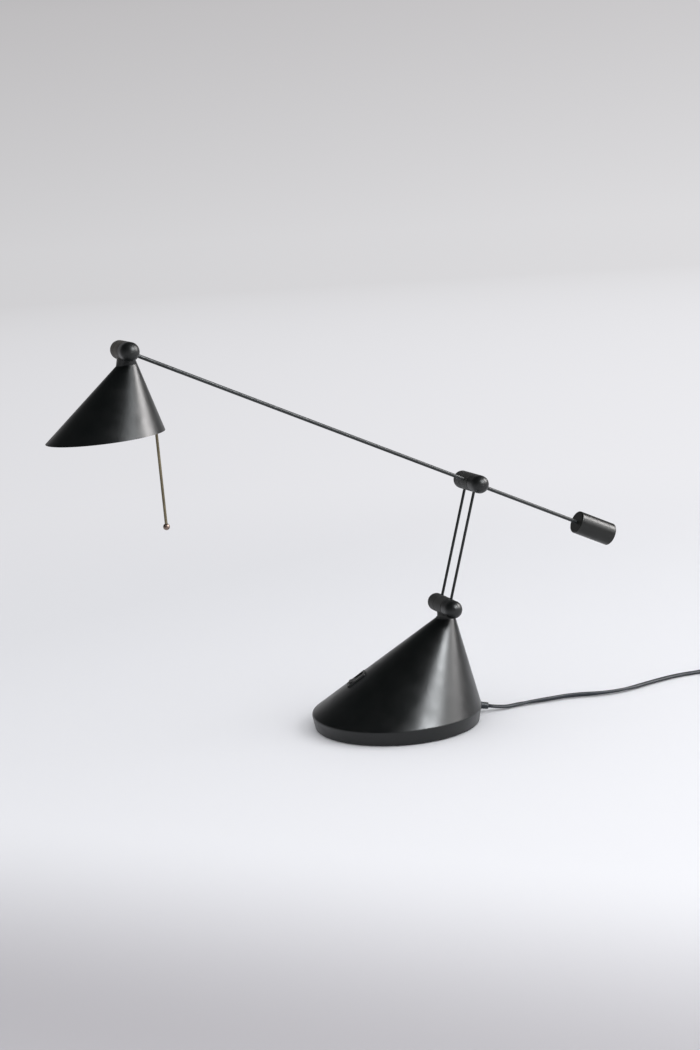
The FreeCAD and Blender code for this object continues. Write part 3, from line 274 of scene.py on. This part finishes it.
def make_flex():
    """The whole flex, from the strain relief to the plug."""
    route = LEAD_ROUTE + [(COIL_CENTRE[0] - FLEX_WIDTH, COIL_CENTRE[1] + COIL_OUTER_RADIUS, FLEX_FLAT)]
    route += coil_route() + TAIL_ROUTE
    line = spline_line(route, FLEX_RESOLUTION)
    section = flex_section()
    vertices, faces = [], []
    station = 0.0
    for index, place in enumerate(line):
        if index:
            station += (place - line[index - 1]).length
        ahead = (line[min(index + 1, len(line) - 1)] - line[max(index - 1, 0)]).normalized()
        across = ahead.cross(Vector((0, 0, 1))).normalized()
        above = across.cross(ahead)
        roll = flex_roll(station)
        wide = across * math.cos(roll) + above * math.sin(roll)
        thin = above * math.cos(roll) - across * math.sin(roll)
        vertices += [place + wide * u + thin * v for u, v in section]
    count = len(section)
    for ring in range(len(line) - 1):
        for corner in range(count):
            here = ring * count + corner
            beside = ring * count + (corner + 1) % count
            faces.append((here, beside, beside + count, here + count))
    faces.append(tuple(reversed(range(count))))
    faces.append(tuple(range(len(vertices) - count, len(vertices))))
    flex = new_mesh("flex", vertices, faces)
    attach(flex, "base")
    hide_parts("cord_lead", "cord_coil")
    return flex


flex = make_flex()


def make_filament():
    """The coiled wire inside the bulb and its two leads."""
    across = -PIVOT_AXIS
    around = BULB_AXIS.cross(across)
    coil = []
    for step in range(FILAMENT_STEPS * FILAMENT_TURNS + 1):
        turn = step / FILAMENT_STEPS
        angle = 2 * math.pi * turn
        ring = BULB_AXIS * math.cos(angle) + around * math.sin(angle)
        coil.append(FILAMENT_CENTRE + across * FILAMENT_LENGTH * (turn / FILAMENT_TURNS - 0.5)
                    + ring * FILAMENT_RADIUS)
    routes = [(coil, 1.0)]
    for end, tip in ((-1, coil[0]), (1, coil[-1])):
        shoulder = FILAMENT_CENTRE + across * end * FILAMENT_LEAD_GAP - BULB_AXIS * FILAMENT_SHOULDER
        foot = FILAMENT_CENTRE + across * end * FILAMENT_LEAD_GAP - BULB_AXIS * FILAMENT_FOOT
        routes.append(([tip, shoulder, foot], FILAMENT_LEAD_WIRES))
    data = bpy.data.curves.new("Filament", "CURVE")
    data.dimensions = "3D"
    data.bevel_depth = FILAMENT_WIRE
    data.bevel_resolution = 2
    for route, thickness in routes:
        add_spline(data, route, thickness)
    holder = bpy.data.objects.new("Filament", data)
    filament = bpy.data.objects.new("bulb_filament", bpy.data.meshes.new_from_object(holder))
    bpy.data.objects.remove(holder)
    bpy.data.curves.remove(data)
    for polygon in filament.data.polygons:
        polygon.use_smooth = True
    bpy.context.scene.collection.objects.link(filament)
    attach(filament, "head")
    return filament


filament = make_filament()


# Node helpers


def feed(links, value, target):
    """Links a socket to another one, or sets it to a plain value."""
    if isinstance(value, bpy.types.NodeSocket):
        links.new(value, target)
    else:
        target.default_value = value


def calculate(nodes, links, operation, *values):
    """The result of a math node on sockets or plain values."""
    node = nodes.new("ShaderNodeMath")
    node.operation = operation
    for value, target in zip(values, node.inputs):
        feed(links, value, target)
    return node.outputs[0]


def map_range(nodes, links, value, span, result=(0.0, 1.0), smooth=False):
    """A value carried from one span to another."""
    node = nodes.new("ShaderNodeMapRange")
    if smooth:
        node.interpolation_type = "SMOOTHSTEP"
    node.inputs["From Min"].default_value, node.inputs["From Max"].default_value = span
    node.inputs["To Min"].default_value, node.inputs["To Max"].default_value = result
    links.new(value, node.inputs["Value"])
    return node.outputs[0]


def tone_ramp(nodes, links, value, stops):
    """A colour by value, from positions and their colours."""
    node = nodes.new("ShaderNodeValToRGB")
    elements = node.color_ramp.elements
    while len(elements) < len(stops):
        elements.new(0.5)
    for element, (position, colour) in zip(elements, stops):
        element.position = position
        element.color = (*colour, 1)
    links.new(value, node.inputs["Fac"])
    return node.outputs["Color"]


def blend_surface(nodes, links, share, first, second, output):
    """Mixes two shaders into an output."""
    node = nodes.new("ShaderNodeMixShader")
    links.new(share, node.inputs["Fac"])
    links.new(first, node.inputs[1])
    links.new(second, node.inputs[2])
    links.new(node.outputs["Shader"], output.inputs["Surface"])


def scaled(colour, factor):
    return tuple(part * factor for part in colour)


# Materials


class Surface:
    """A procedural material, put together from a few layers."""

    def __init__(self, name, colour, roughness, metallic=0.0, coat=0.0):
        self.material = bpy.data.materials.new(name)
        self.material.use_nodes = True
        self.tree = self.material.node_tree
        self.nodes = self.tree.nodes
        self.shader = self.nodes["Principled BSDF"]
        self.colour = self.rgb(colour)
        self.rough = roughness
        self.height = None
        self.shader.inputs["Metallic"].default_value = metallic
        self.shader.inputs["Coat Weight"].default_value = coat
        self.shader.inputs["Coat Roughness"].default_value = 0.06
        self.place = self.nodes.new("ShaderNodeTexCoord").outputs["Object"]

    def rgb(self, colour):
        node = self.nodes.new("ShaderNodeRGB")
        node.outputs[0].default_value = (*colour, 1)
        return node.outputs[0]

    def link(self, source, target):
        self.tree.links.new(source, target)

    def noise(self, scale, detail=3.0, along=None, stretch=1.0, roughness=0.5):
        """Noise in metres; along and stretch draw it out in one direction."""
        node = self.nodes.new("ShaderNodeTexNoise")
        node.inputs["Scale"].default_value = scale
        node.inputs["Detail"].default_value = detail
        node.inputs["Roughness"].default_value = roughness
        place = self.place
        if along is not None:
            turn = self.nodes.new("ShaderNodeMapping")
            turn.vector_type = "TEXTURE"
            turn.inputs["Rotation"].default_value = unit_axes(along).to_euler()
            wide = max(1 / stretch, 1)
            turn.inputs["Scale"].default_value = (wide, wide, max(stretch, 1))
            self.link(place, turn.inputs["Vector"])
            place = turn.outputs[0]
        self.link(place, node.inputs["Vector"])
        return node.outputs["Fac"]

    def bands(self, direction, scale, distortion):
        """Stripes across one of the axes."""
        node = self.nodes.new("ShaderNodeTexWave")
        node.wave_type = "BANDS"
        node.bands_direction = direction
        node.inputs["Scale"].default_value = scale
        node.inputs["Distortion"].default_value = distortion
        self.link(self.place, node.inputs["Vector"])
        return node.outputs["Fac"]

    def ramp(self, source, low, high, start=0.0, end=1.0):
        return map_range(self.nodes, self.tree.links, source, (low, high), (start, end), smooth=True)

    def tint(self, mask, colour):
        """Lays another colour over the present one where the mask says."""
        node = self.nodes.new("ShaderNodeMix")
        node.data_type = "RGBA"
        self.link(mask, node.inputs["Factor"])
        self.link(self.colour, node.inputs["A"])
        node.inputs["B"].default_value = (*colour, 1)
        self.colour = node.outputs["Result"]

    def roughen(self, mask, roughness):
        """Moves the roughness to another value where the mask says."""
        node = self.nodes.new("ShaderNodeMix")
        node.data_type = "FLOAT"
        self.link(mask, node.inputs["Factor"])
        feed(self.tree.links, self.rough, node.inputs["A"])
        node.inputs["B"].default_value = roughness
        self.rough = node.outputs["Result"]

    def bump(self, source, depth, strength=1.0):
        """Relief of a depth in metres."""
        node = self.nodes.new("ShaderNodeBump")
        node.inputs["Distance"].default_value = depth
        node.inputs["Strength"].default_value = strength
        self.link(source, node.inputs["Height"])
        if self.height is not None:
            self.link(self.height, node.inputs["Normal"])
        self.height = node.outputs["Normal"]

    def done(self):
        self.link(self.colour, self.shader.inputs["Base Color"])
        feed(self.tree.links, self.rough, self.shader.inputs["Roughness"])
        if self.height is not None:
            self.link(self.height, self.shader.inputs["Normal"])
        return self.material


DUST = (0.03, 0.032, 0.032)
SCUFF = (0.012, 0.015, 0.015)


def enamel(name, colour, roughness, dust):
    """Satin stove enamel: fine orange peel, faint clouding, dust and rubbed places."""
    paint = Surface(name, colour, roughness)
    cloud = paint.noise(18, 4)
    paint.tint(paint.ramp(cloud, 0.35, 0.75, 0.0, 0.5), scaled(colour, 1.9))
    paint.roughen(paint.ramp(paint.noise(60, 5), 0.3, 0.75, 0.0, 1.0), roughness + 0.09)
    speck = paint.ramp(paint.noise(900, 2), 0.66, 0.74, 0.0, dust)
    paint.tint(speck, DUST)
    scuff = paint.ramp(paint.noise(140, 6, along=(0.3, 0.1, 1), stretch=9), 0.66, 0.8, 0.0, dust)
    paint.tint(scuff, SCUFF)
    paint.bump(paint.noise(950, 2), 0.00004, 0.35)
    paint.bump(paint.noise(120, 2), 0.0002, 0.12)
    return paint.done()


def turned_metal(name, colour, roughness, axis, metallic=1.0, mark=0.6, specular=0.5):
    """Turned metal: fine rings round its axis and a slight stain."""
    metal = Surface(name, colour, roughness, metallic)
    metal.shader.inputs["Specular IOR Level"].default_value = specular
    rings = metal.noise(2600, 2, along=axis, stretch=1 / 60)
    stain = metal.noise(70, 4)
    metal.tint(metal.ramp(stain, 0.4, 0.75, 0.0, 0.55), scaled(colour, 0.55))
    metal.roughen(metal.ramp(rings, 0.35, 0.7, 0.0, 1.0), roughness + 0.12)
    metal.bump(rings, 0.00003, mark)
    return metal.done()


def drawn_metal(name, colour, roughness, axis, metallic=1.0):
    """Drawn rod: long fine lines and a little tarnish."""
    metal = Surface(name, colour, roughness, metallic)
    lines = metal.noise(2200, 3, along=axis, stretch=60)
    stain = metal.noise(55, 5)
    metal.tint(metal.ramp(stain, 0.42, 0.72, 0.0, 0.6), scaled(colour, 0.5))
    metal.roughen(metal.ramp(lines, 0.3, 0.7, 0.0, 1.0), roughness + 0.15)
    metal.bump(lines, 0.00002, 0.5)
    return metal.done()


def plastic(name, colour, roughness, grain=1400, depth=0.00003, specular=0.5):
    """Moulded plastic: an even fine grain and slight clouding."""
    moulded = Surface(name, colour, roughness)
    moulded.shader.inputs["Specular IOR Level"].default_value = specular
    cloud = moulded.ramp(moulded.noise(30, 3), 0.35, 0.75, 0.0, 0.5)
    moulded.tint(cloud, tuple(min(1, part * 1.35 + 0.002) for part in colour))
    moulded.roughen(moulded.ramp(moulded.noise(90, 5), 0.35, 0.75), roughness + 0.1)
    moulded.bump(moulded.noise(grain, 2), depth, 0.5)
    return moulded.done()


def zinc(name):
    """Zinc plate: a faint spangle and a little tarnish."""
    metal = Surface(name, (0.55, 0.56, 0.58), 0.32, 1.0)
    crystals = metal.nodes.new("ShaderNodeTexVoronoi")
    crystals.inputs["Scale"].default_value = 700
    metal.link(metal.place, crystals.inputs["Vector"])
    metal.roughen(metal.ramp(crystals.outputs["Distance"], 0.1, 0.7), 0.48)
    metal.tint(metal.ramp(metal.noise(120, 4), 0.4, 0.7, 0.0, 0.6), (0.42, 0.41, 0.36))
    metal.bump(crystals.outputs["Distance"], 0.00002, 0.4)
    return metal.done()


def laminations(name):
    """Stacked sheets of the transformer core, seen as fine lines."""
    iron = Surface(name, (0.09, 0.095, 0.11), 0.42, 0.8)
    sheets = iron.bands("Y", 320, 0.4)
    iron.tint(iron.ramp(sheets, 0.5, 0.9), (0.03, 0.03, 0.034))
    iron.bump(sheets, 0.0001, 0.6)
    return iron.done()


def copper_winding(name):
    """Lacquered copper wire, turn beside turn."""
    wire = Surface(name, (0.42, 0.13, 0.045), 0.25, 0.9, coat=0.4)
    turns = wire.bands("Z", 400, 1.2)
    wire.tint(wire.ramp(turns, 0.0, 0.45, 0.8, 0.0), (0.14, 0.035, 0.012))
    wire.bump(turns, 0.0002, 0.9)
    return wire.done()


def glass(name):
    """Clear quartz with a slight haze."""
    quartz = Surface(name, (0.96, 0.97, 0.98), 0.03)
    quartz.shader.inputs["Transmission Weight"].default_value = 1.0
    quartz.shader.inputs["IOR"].default_value = 1.46
    quartz.roughen(quartz.ramp(quartz.noise(260, 3), 0.45, 0.75), 0.09)
    quartz.bump(quartz.noise(160, 2), 0.0001, 0.12)
    return quartz.done()


def rubber(name, colour, roughness):
    """Rubber or soft sheathing: cloudy, with a fine grain."""
    skin = Surface(name, colour, roughness)
    skin.tint(skin.ramp(skin.noise(80, 5), 0.4, 0.75, 0.0, 0.6), scaled(colour, 1.8))
    skin.roughen(skin.ramp(skin.noise(300, 3), 0.4, 0.7), roughness + 0.12)
    skin.bump(skin.noise(1800, 3), 0.00005, 0.5)
    return skin.done()


BLACK = (0.0004, 0.0013, 0.0014)

MATERIALS = {
    "base_enamel": enamel("base_enamel", BLACK, 0.31, dust=0.2),
    "shade_enamel": enamel("shade_enamel", BLACK, 0.32, dust=0.1),
    "shade_lining": enamel("shade_lining", (0.6, 0.595, 0.57), 0.4, dust=0.05),
    "barrel_black": turned_metal("barrel_black", (0.03, 0.031, 0.03), 0.55, PIVOT_AXIS,
                                 metallic=0.25, mark=0.2),
    # The head's barrel wears a lighter copy of barrel_black, which is painted light.
    "barrel_painted_lighter": turned_metal("barrel_painted_lighter", (0.066, 0.06, 0.052), 0.58, PIVOT_AXIS,
                                metallic=0.25, mark=0.2),
    "dome_black": plastic("dome_black", (0.0013, 0.0024, 0.0024), 0.37, depth=0.00002),
    "rod_lacquer": drawn_metal("rod_lacquer", (0.014, 0.017, 0.018), 0.4, ARM_AXIS, metallic=0.1),
    "strut_lacquer": drawn_metal("strut_lacquer", (0.003, 0.0055, 0.006), 0.36, STRUT_AXIS, metallic=0.1),
    "weight_lacquer": turned_metal("weight_lacquer", (0.0075, 0.008, 0.0068), 0.31, ARM_AXIS,
                                   metallic=0.0, mark=0.2, specular=0.38),
    "brass": drawn_metal("brass", (0.21, 0.18, 0.12), 0.34, HANDLE_AXIS),
    "brass_ball": turned_metal("brass_ball", (0.23, 0.175, 0.15), 0.28, HANDLE_AXIS),
    "zinc": zinc("zinc"),
    "black_steel": turned_metal("black_steel", (0.05, 0.05, 0.05), 0.4, ARM_AXIS, metallic=0.8),
    "plate_steel": drawn_metal("plate_steel", (0.4, 0.41, 0.42), 0.35, (1.0, 0.0, 0.0)),
    "pad_rubber": rubber("pad_rubber", (0.02, 0.02, 0.02), 0.75),
    "laminations": laminations("laminations"),
    "copper": copper_winding("copper"),
    "nylon": plastic("nylon", (0.72, 0.68, 0.58), 0.45),
    "bushing_acetal": plastic("bushing_acetal", (0.008, 0.009, 0.009), 0.4),
    "switch_plastic": plastic("switch_plastic", (0.007, 0.008, 0.008), 0.38, grain=2600, depth=0.00004),
    "ceramic": plastic("ceramic", (0.78, 0.76, 0.71), 0.55, grain=2400, depth=0.00004),
    "quartz": glass("quartz"),
    "pin_metal": turned_metal("pin_metal", (0.6, 0.58, 0.54), 0.25, (0, 1, 0)),
    "flex_sheath": rubber("flex_sheath", (0.012, 0.017, 0.024), 0.48),
    "plug_moulding": plastic("plug_moulding", (0.012, 0.013, 0.014), 0.42, grain=1800, depth=0.00005),
}

# Which pieces wear which material. One knuckle of each barrel wears the dark dome material and the other
# a lighter barrel material, which is painted light.
WEARS = {
    "base_enamel": ["base_shell"],
    "shade_enamel": ["shade", "shade_saddle"],
    "barrel_black": ["lower_hub", "upper_hub", "lower_knuckle_right", "upper_knuckle_right"],
    "barrel_painted_lighter": ["head_hub", "head_knuckle_right"],
    "dome_black": ["lower_knuckle_left", "upper_knuckle_left", "head_knuckle_left"],
    "rod_lacquer": ["arm_rod"],
    "strut_lacquer": ["strut_left", "strut_right"],
    "weight_lacquer": ["counterweight"],
    "brass": ["handle_rod"],
    "brass_ball": ["handle_ball"],
    "zinc": ["base_screws", "transformer_screws", "transformer_clamp", "swivel_washer", "swivel_nut",
             "swivel_stem", "lower_bolt", "lower_nuts", "upper_bolt", "upper_nuts", "head_bolt",
             "head_nuts", "lampholder_bracket", "shade_screw", "handle_clip"],
    "black_steel": ["arm_lock_screw", "counterweight_screw"],
    "plate_steel": ["base_plate"],
    "pad_rubber": ["base_pad"],
    "laminations": ["transformer_core"],
    "copper": ["transformer_winding", "arm_core"],
    "nylon": ["transformer_bobbin", "terminal_block", "lower_insulators", "upper_insulators",
              "head_insulators"],
    "bushing_acetal": ["neck_bushing"],
    "switch_plastic": ["switch_housing", "switch_rocker"],
    "ceramic": ["lampholder"],
    "quartz": ["bulb_glass"],
    "pin_metal": ["bulb_pins", "plug_pins"],
    "flex_sheath": ["cord_lead", "cord_coil", "cord_strain_relief"],
    "plug_moulding": ["plug_body"],
}

# What the far end cap of each barrel wears; the near one is glossier and darker. The far caps' lighter
# tone is painted light.
FAR_CAPS = {
    "lower_end_caps": "barrel_black",
    "upper_end_caps": "barrel_black",
    "head_end_caps": "barrel_painted_lighter",
}


def dress(thing, *names):
    """Gives a piece its materials in place of what it has."""
    thing.data.materials.clear()
    for name in names:
        thing.data.materials.append(MATERIALS[name])


for finish, labels in WEARS.items():
    for label in labels:
        dress(NODES[label], finish)
dress(flex, "flex_sheath")
dress(filament, "pin_metal")


def line_shade():
    """Gives the faces inside the shade its pale lining."""
    shade = NODES["shade"]
    shade.data.materials.append(MATERIALS["shade_lining"])
    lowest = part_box("shade")[0]
    lean = Vector((math.cos(SWING), math.sin(SWING), 0))
    for polygon in shade.data.polygons:
        drop = (SHADE_PIVOT.z - polygon.center.z) / (SHADE_PIVOT.z - lowest.z)
        middle = SHADE_PIVOT - lean * SHADE_LEAN * drop
        outward = Vector((polygon.center.x - middle.x, polygon.center.y - middle.y, 0))
        inside = polygon.normal.dot(outward) < INWARD_SHARE * outward.length
        polygon.material_index = 1 if inside else 0


def cap_barrels():
    """Dresses the near cap of each barrel in the dark dome material and the far cap in a lighter one,
    which is painted light.
    """
    for label, far_finish in FAR_CAPS.items():
        caps = NODES[label]
        dress(caps, "dome_black", far_finish)
        low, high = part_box(label)
        middle = (Vector(low) + Vector(high)) / 2
        for polygon in caps.data.polygons:
            far = (polygon.center - middle).dot(PIVOT_AXIS) > 0
            polygon.material_index = 1 if far else 0


line_shade()
cap_barrels()


# Floor, light and surroundings


def seen_rays(nodes, links):
    """1 for rays that the eye follows: straight, mirrored or through glass."""
    path = nodes.new("ShaderNodeLightPath")
    seen = path.outputs["Is Camera Ray"]
    for label in ("Is Glossy Ray", "Is Transmission Ray"):
        seen = calculate(nodes, links, "MAXIMUM", seen, path.outputs[label])
    return seen


def side_strength(nodes, links, direction):
    """Strength of the surroundings by direction: lighter on the right, dim to either side."""
    split = nodes.new("ShaderNodeSeparateXYZ")
    links.new(direction, split.inputs[0])
    side = split.outputs["X"]
    change = SIDE_SLOPE * SIDE_REACH
    strength = map_range(nodes, links, side, (-SIDE_REACH, SIDE_REACH), (1 - change, 1 + change))
    for begin, end, dim in SIDE_DIMS:
        room = map_range(nodes, links, side, (begin, end), (1.0, dim), smooth=True)
        strength = calculate(nodes, links, "MULTIPLY", strength, room)
    return strength


def floor_disc():
    """A flat disc whose rings get wider outwards."""
    vertices = [(0.0, 0.0, FLOOR_LEVEL)]
    faces = []
    for ring in range(1, FLOOR_RINGS + 1):
        radius = FLOOR_REACH * (ring / FLOOR_RINGS) ** 3
        for sector in range(FLOOR_SECTORS):
            angle = 2 * math.pi * sector / FLOOR_SECTORS
            vertices.append((radius * math.cos(angle), radius * math.sin(angle), FLOOR_LEVEL))
    for sector in range(FLOOR_SECTORS):
        ahead = (sector + 1) % FLOOR_SECTORS
        faces.append((0, 1 + sector, 1 + ahead))
        for ring in range(1, FLOOR_RINGS):
            inner = 1 + (ring - 1) * FLOOR_SECTORS
            outer = inner + FLOOR_SECTORS
            faces.append((inner + sector, outer + sector, outer + ahead, inner + ahead))
    return new_mesh("floor", vertices, faces)


def paint_floor(nodes, links, place, shader):
    """Matt pale paper with painted shade in front and painted light to the near right, painted shade to
    the far left.
    """
    shader.inputs["Roughness"].default_value = 0.85
    shader.inputs["Specular IOR Level"].default_value = 0.15
    split = nodes.new("ShaderNodeSeparateXYZ")
    links.new(place, split.inputs[0])
    # front carries the painted shade in front; side carries the painted light to the near right
    front = calculate(nodes, links, "MULTIPLY_ADD", split.outputs["X"], FRONT_SKEW, split.outputs["Y"])
    side = calculate(nodes, links, "MULTIPLY_ADD", split.outputs["X"], LIFT_SKEW, split.outputs["Y"])
    tone = nodes.new("ShaderNodeMix")
    tone.data_type = "RGBA"
    tone.inputs["A"].default_value = (*FLOOR_FRONT, 1)
    tone.inputs["B"].default_value = (*FLOOR_BACK, 1)
    links.new(map_range(nodes, links, front, FRONT_EDGE, smooth=True), tone.inputs["Factor"])
    lift = nodes.new("ShaderNodeVectorMath")
    lift.operation = "SCALE"
    links.new(tone.outputs["Result"], lift.inputs[0])
    links.new(map_range(nodes, links, side, LIFT_SPAN, LIFT), lift.inputs["Scale"])
    links.new(lift.outputs["Vector"], shader.inputs["Base Color"])
    grain = nodes.new("ShaderNodeTexNoise")
    grain.inputs["Scale"].default_value = 900
    links.new(place, grain.inputs["Vector"])
    bump = nodes.new("ShaderNodeBump")
    bump.inputs["Strength"].default_value = 0.15
    bump.inputs["Distance"].default_value = 0.0002
    links.new(grain.outputs["Fac"], bump.inputs["Height"])
    links.new(bump.outputs["Normal"], shader.inputs["Normal"])


def floor_glow(nodes, links, place, distance):
    """What the far floor gives off, in the tones of the surroundings behind it."""
    bearing = nodes.new("ShaderNodeVectorMath")
    bearing.operation = "DIVIDE"
    links.new(place, bearing.inputs[0])
    links.new(calculate(nodes, links, "ADD", distance, GLOW_BEARING), bearing.inputs[1])
    tone = tone_ramp(nodes, links, map_range(nodes, links, distance, GLOW_SPAN), GLOW_TONES)
    glow = nodes.new("ShaderNodeEmission")
    links.new(tone, glow.inputs["Color"])
    links.new(side_strength(nodes, links, bearing.outputs["Vector"]), glow.inputs["Strength"])
    return glow.outputs["Emission"]


def make_floor():
    """Pale paper near the lamp, which turns into glow further off."""
    floor = floor_disc()
    material = bpy.data.materials.new("floor_paper")
    material.use_nodes = True
    nodes, links = material.node_tree.nodes, material.node_tree.links
    place = nodes.new("ShaderNodeTexCoord").outputs["Object"]
    shader = nodes["Principled BSDF"]
    paint_floor(nodes, links, place, shader)
    length = nodes.new("ShaderNodeVectorMath")
    length.operation = "LENGTH"
    links.new(place, length.inputs[0])
    distance = length.outputs["Value"]
    far = map_range(nodes, links, distance, GLOW_START, smooth=True)
    share = calculate(nodes, links, "MULTIPLY", far, seen_rays(nodes, links))
    glow = floor_glow(nodes, links, place, distance)
    blend_surface(nodes, links, share, shader.outputs["BSDF"], glow, nodes["Material Output"])
    floor.data.materials.append(material)


def make_world():
    """Surroundings in a tone by height for what the eye follows, and an even fill for the rest."""
    world = bpy.data.worlds.new("World")
    bpy.context.scene.world = world
    world.use_nodes = True
    nodes, links = world.node_tree.nodes, world.node_tree.links
    place = nodes.new("ShaderNodeTexCoord").outputs["Generated"]
    split = nodes.new("ShaderNodeSeparateXYZ")
    links.new(place, split.inputs[0])
    backdrop = nodes["Background"]
    links.new(tone_ramp(nodes, links, split.outputs["Z"], SKY_TONES), backdrop.inputs["Color"])
    links.new(side_strength(nodes, links, place), backdrop.inputs["Strength"])
    fill = nodes.new("ShaderNodeBackground")
    fill.inputs["Color"].default_value = (*FILL, 1)
    blend_surface(nodes, links, seen_rays(nodes, links), fill.outputs["Background"],
                  backdrop.outputs["Background"], nodes["World Output"])


def make_light(name, azimuth, elevation, distance, size, power, colour=(1, 1, 1), mirrored=False):
    """A soft square light that looks at the lamp; azimuth 0 is at -Y and 90 at +X.

    A mirrored light shows only in reflections.
    """
    data = bpy.data.lights.new(name, "AREA")
    data.shape = "RECTANGLE"
    data.size, data.size_y = size
    data.energy = power
    data.color = colour
    light = bpy.data.objects.new(name, data)
    bpy.context.scene.collection.objects.link(light)
    turn, rise = math.radians(azimuth), math.radians(elevation)
    away = Vector((math.sin(turn) * math.cos(rise), -math.cos(turn) * math.cos(rise), math.sin(rise)))
    light.location = LIGHT_AIM + away * distance
    light.rotation_mode = "QUATERNION"
    light.rotation_quaternion = away.to_track_quat("Z", "Y")
    light.visible_camera = False
    light.visible_diffuse = not mirrored


make_floor()
make_world()
make_light("window_near", azimuth=47, elevation=41, distance=2.2, size=(0.85, 0.68), power=50,
           colour=(0.94, 0.975, 1.0), mirrored=True)
make_light("window_far", azimuth=102, elevation=30, distance=4.4, size=(1.8, 1.8), power=185,
           colour=(1.0, 0.975, 0.97), mirrored=True)
make_light("window_wide", azimuth=70, elevation=30, distance=4.8, size=(5.2, 2.8), power=105)

bpy.context.scene.view_settings.view_transform = "Standard"
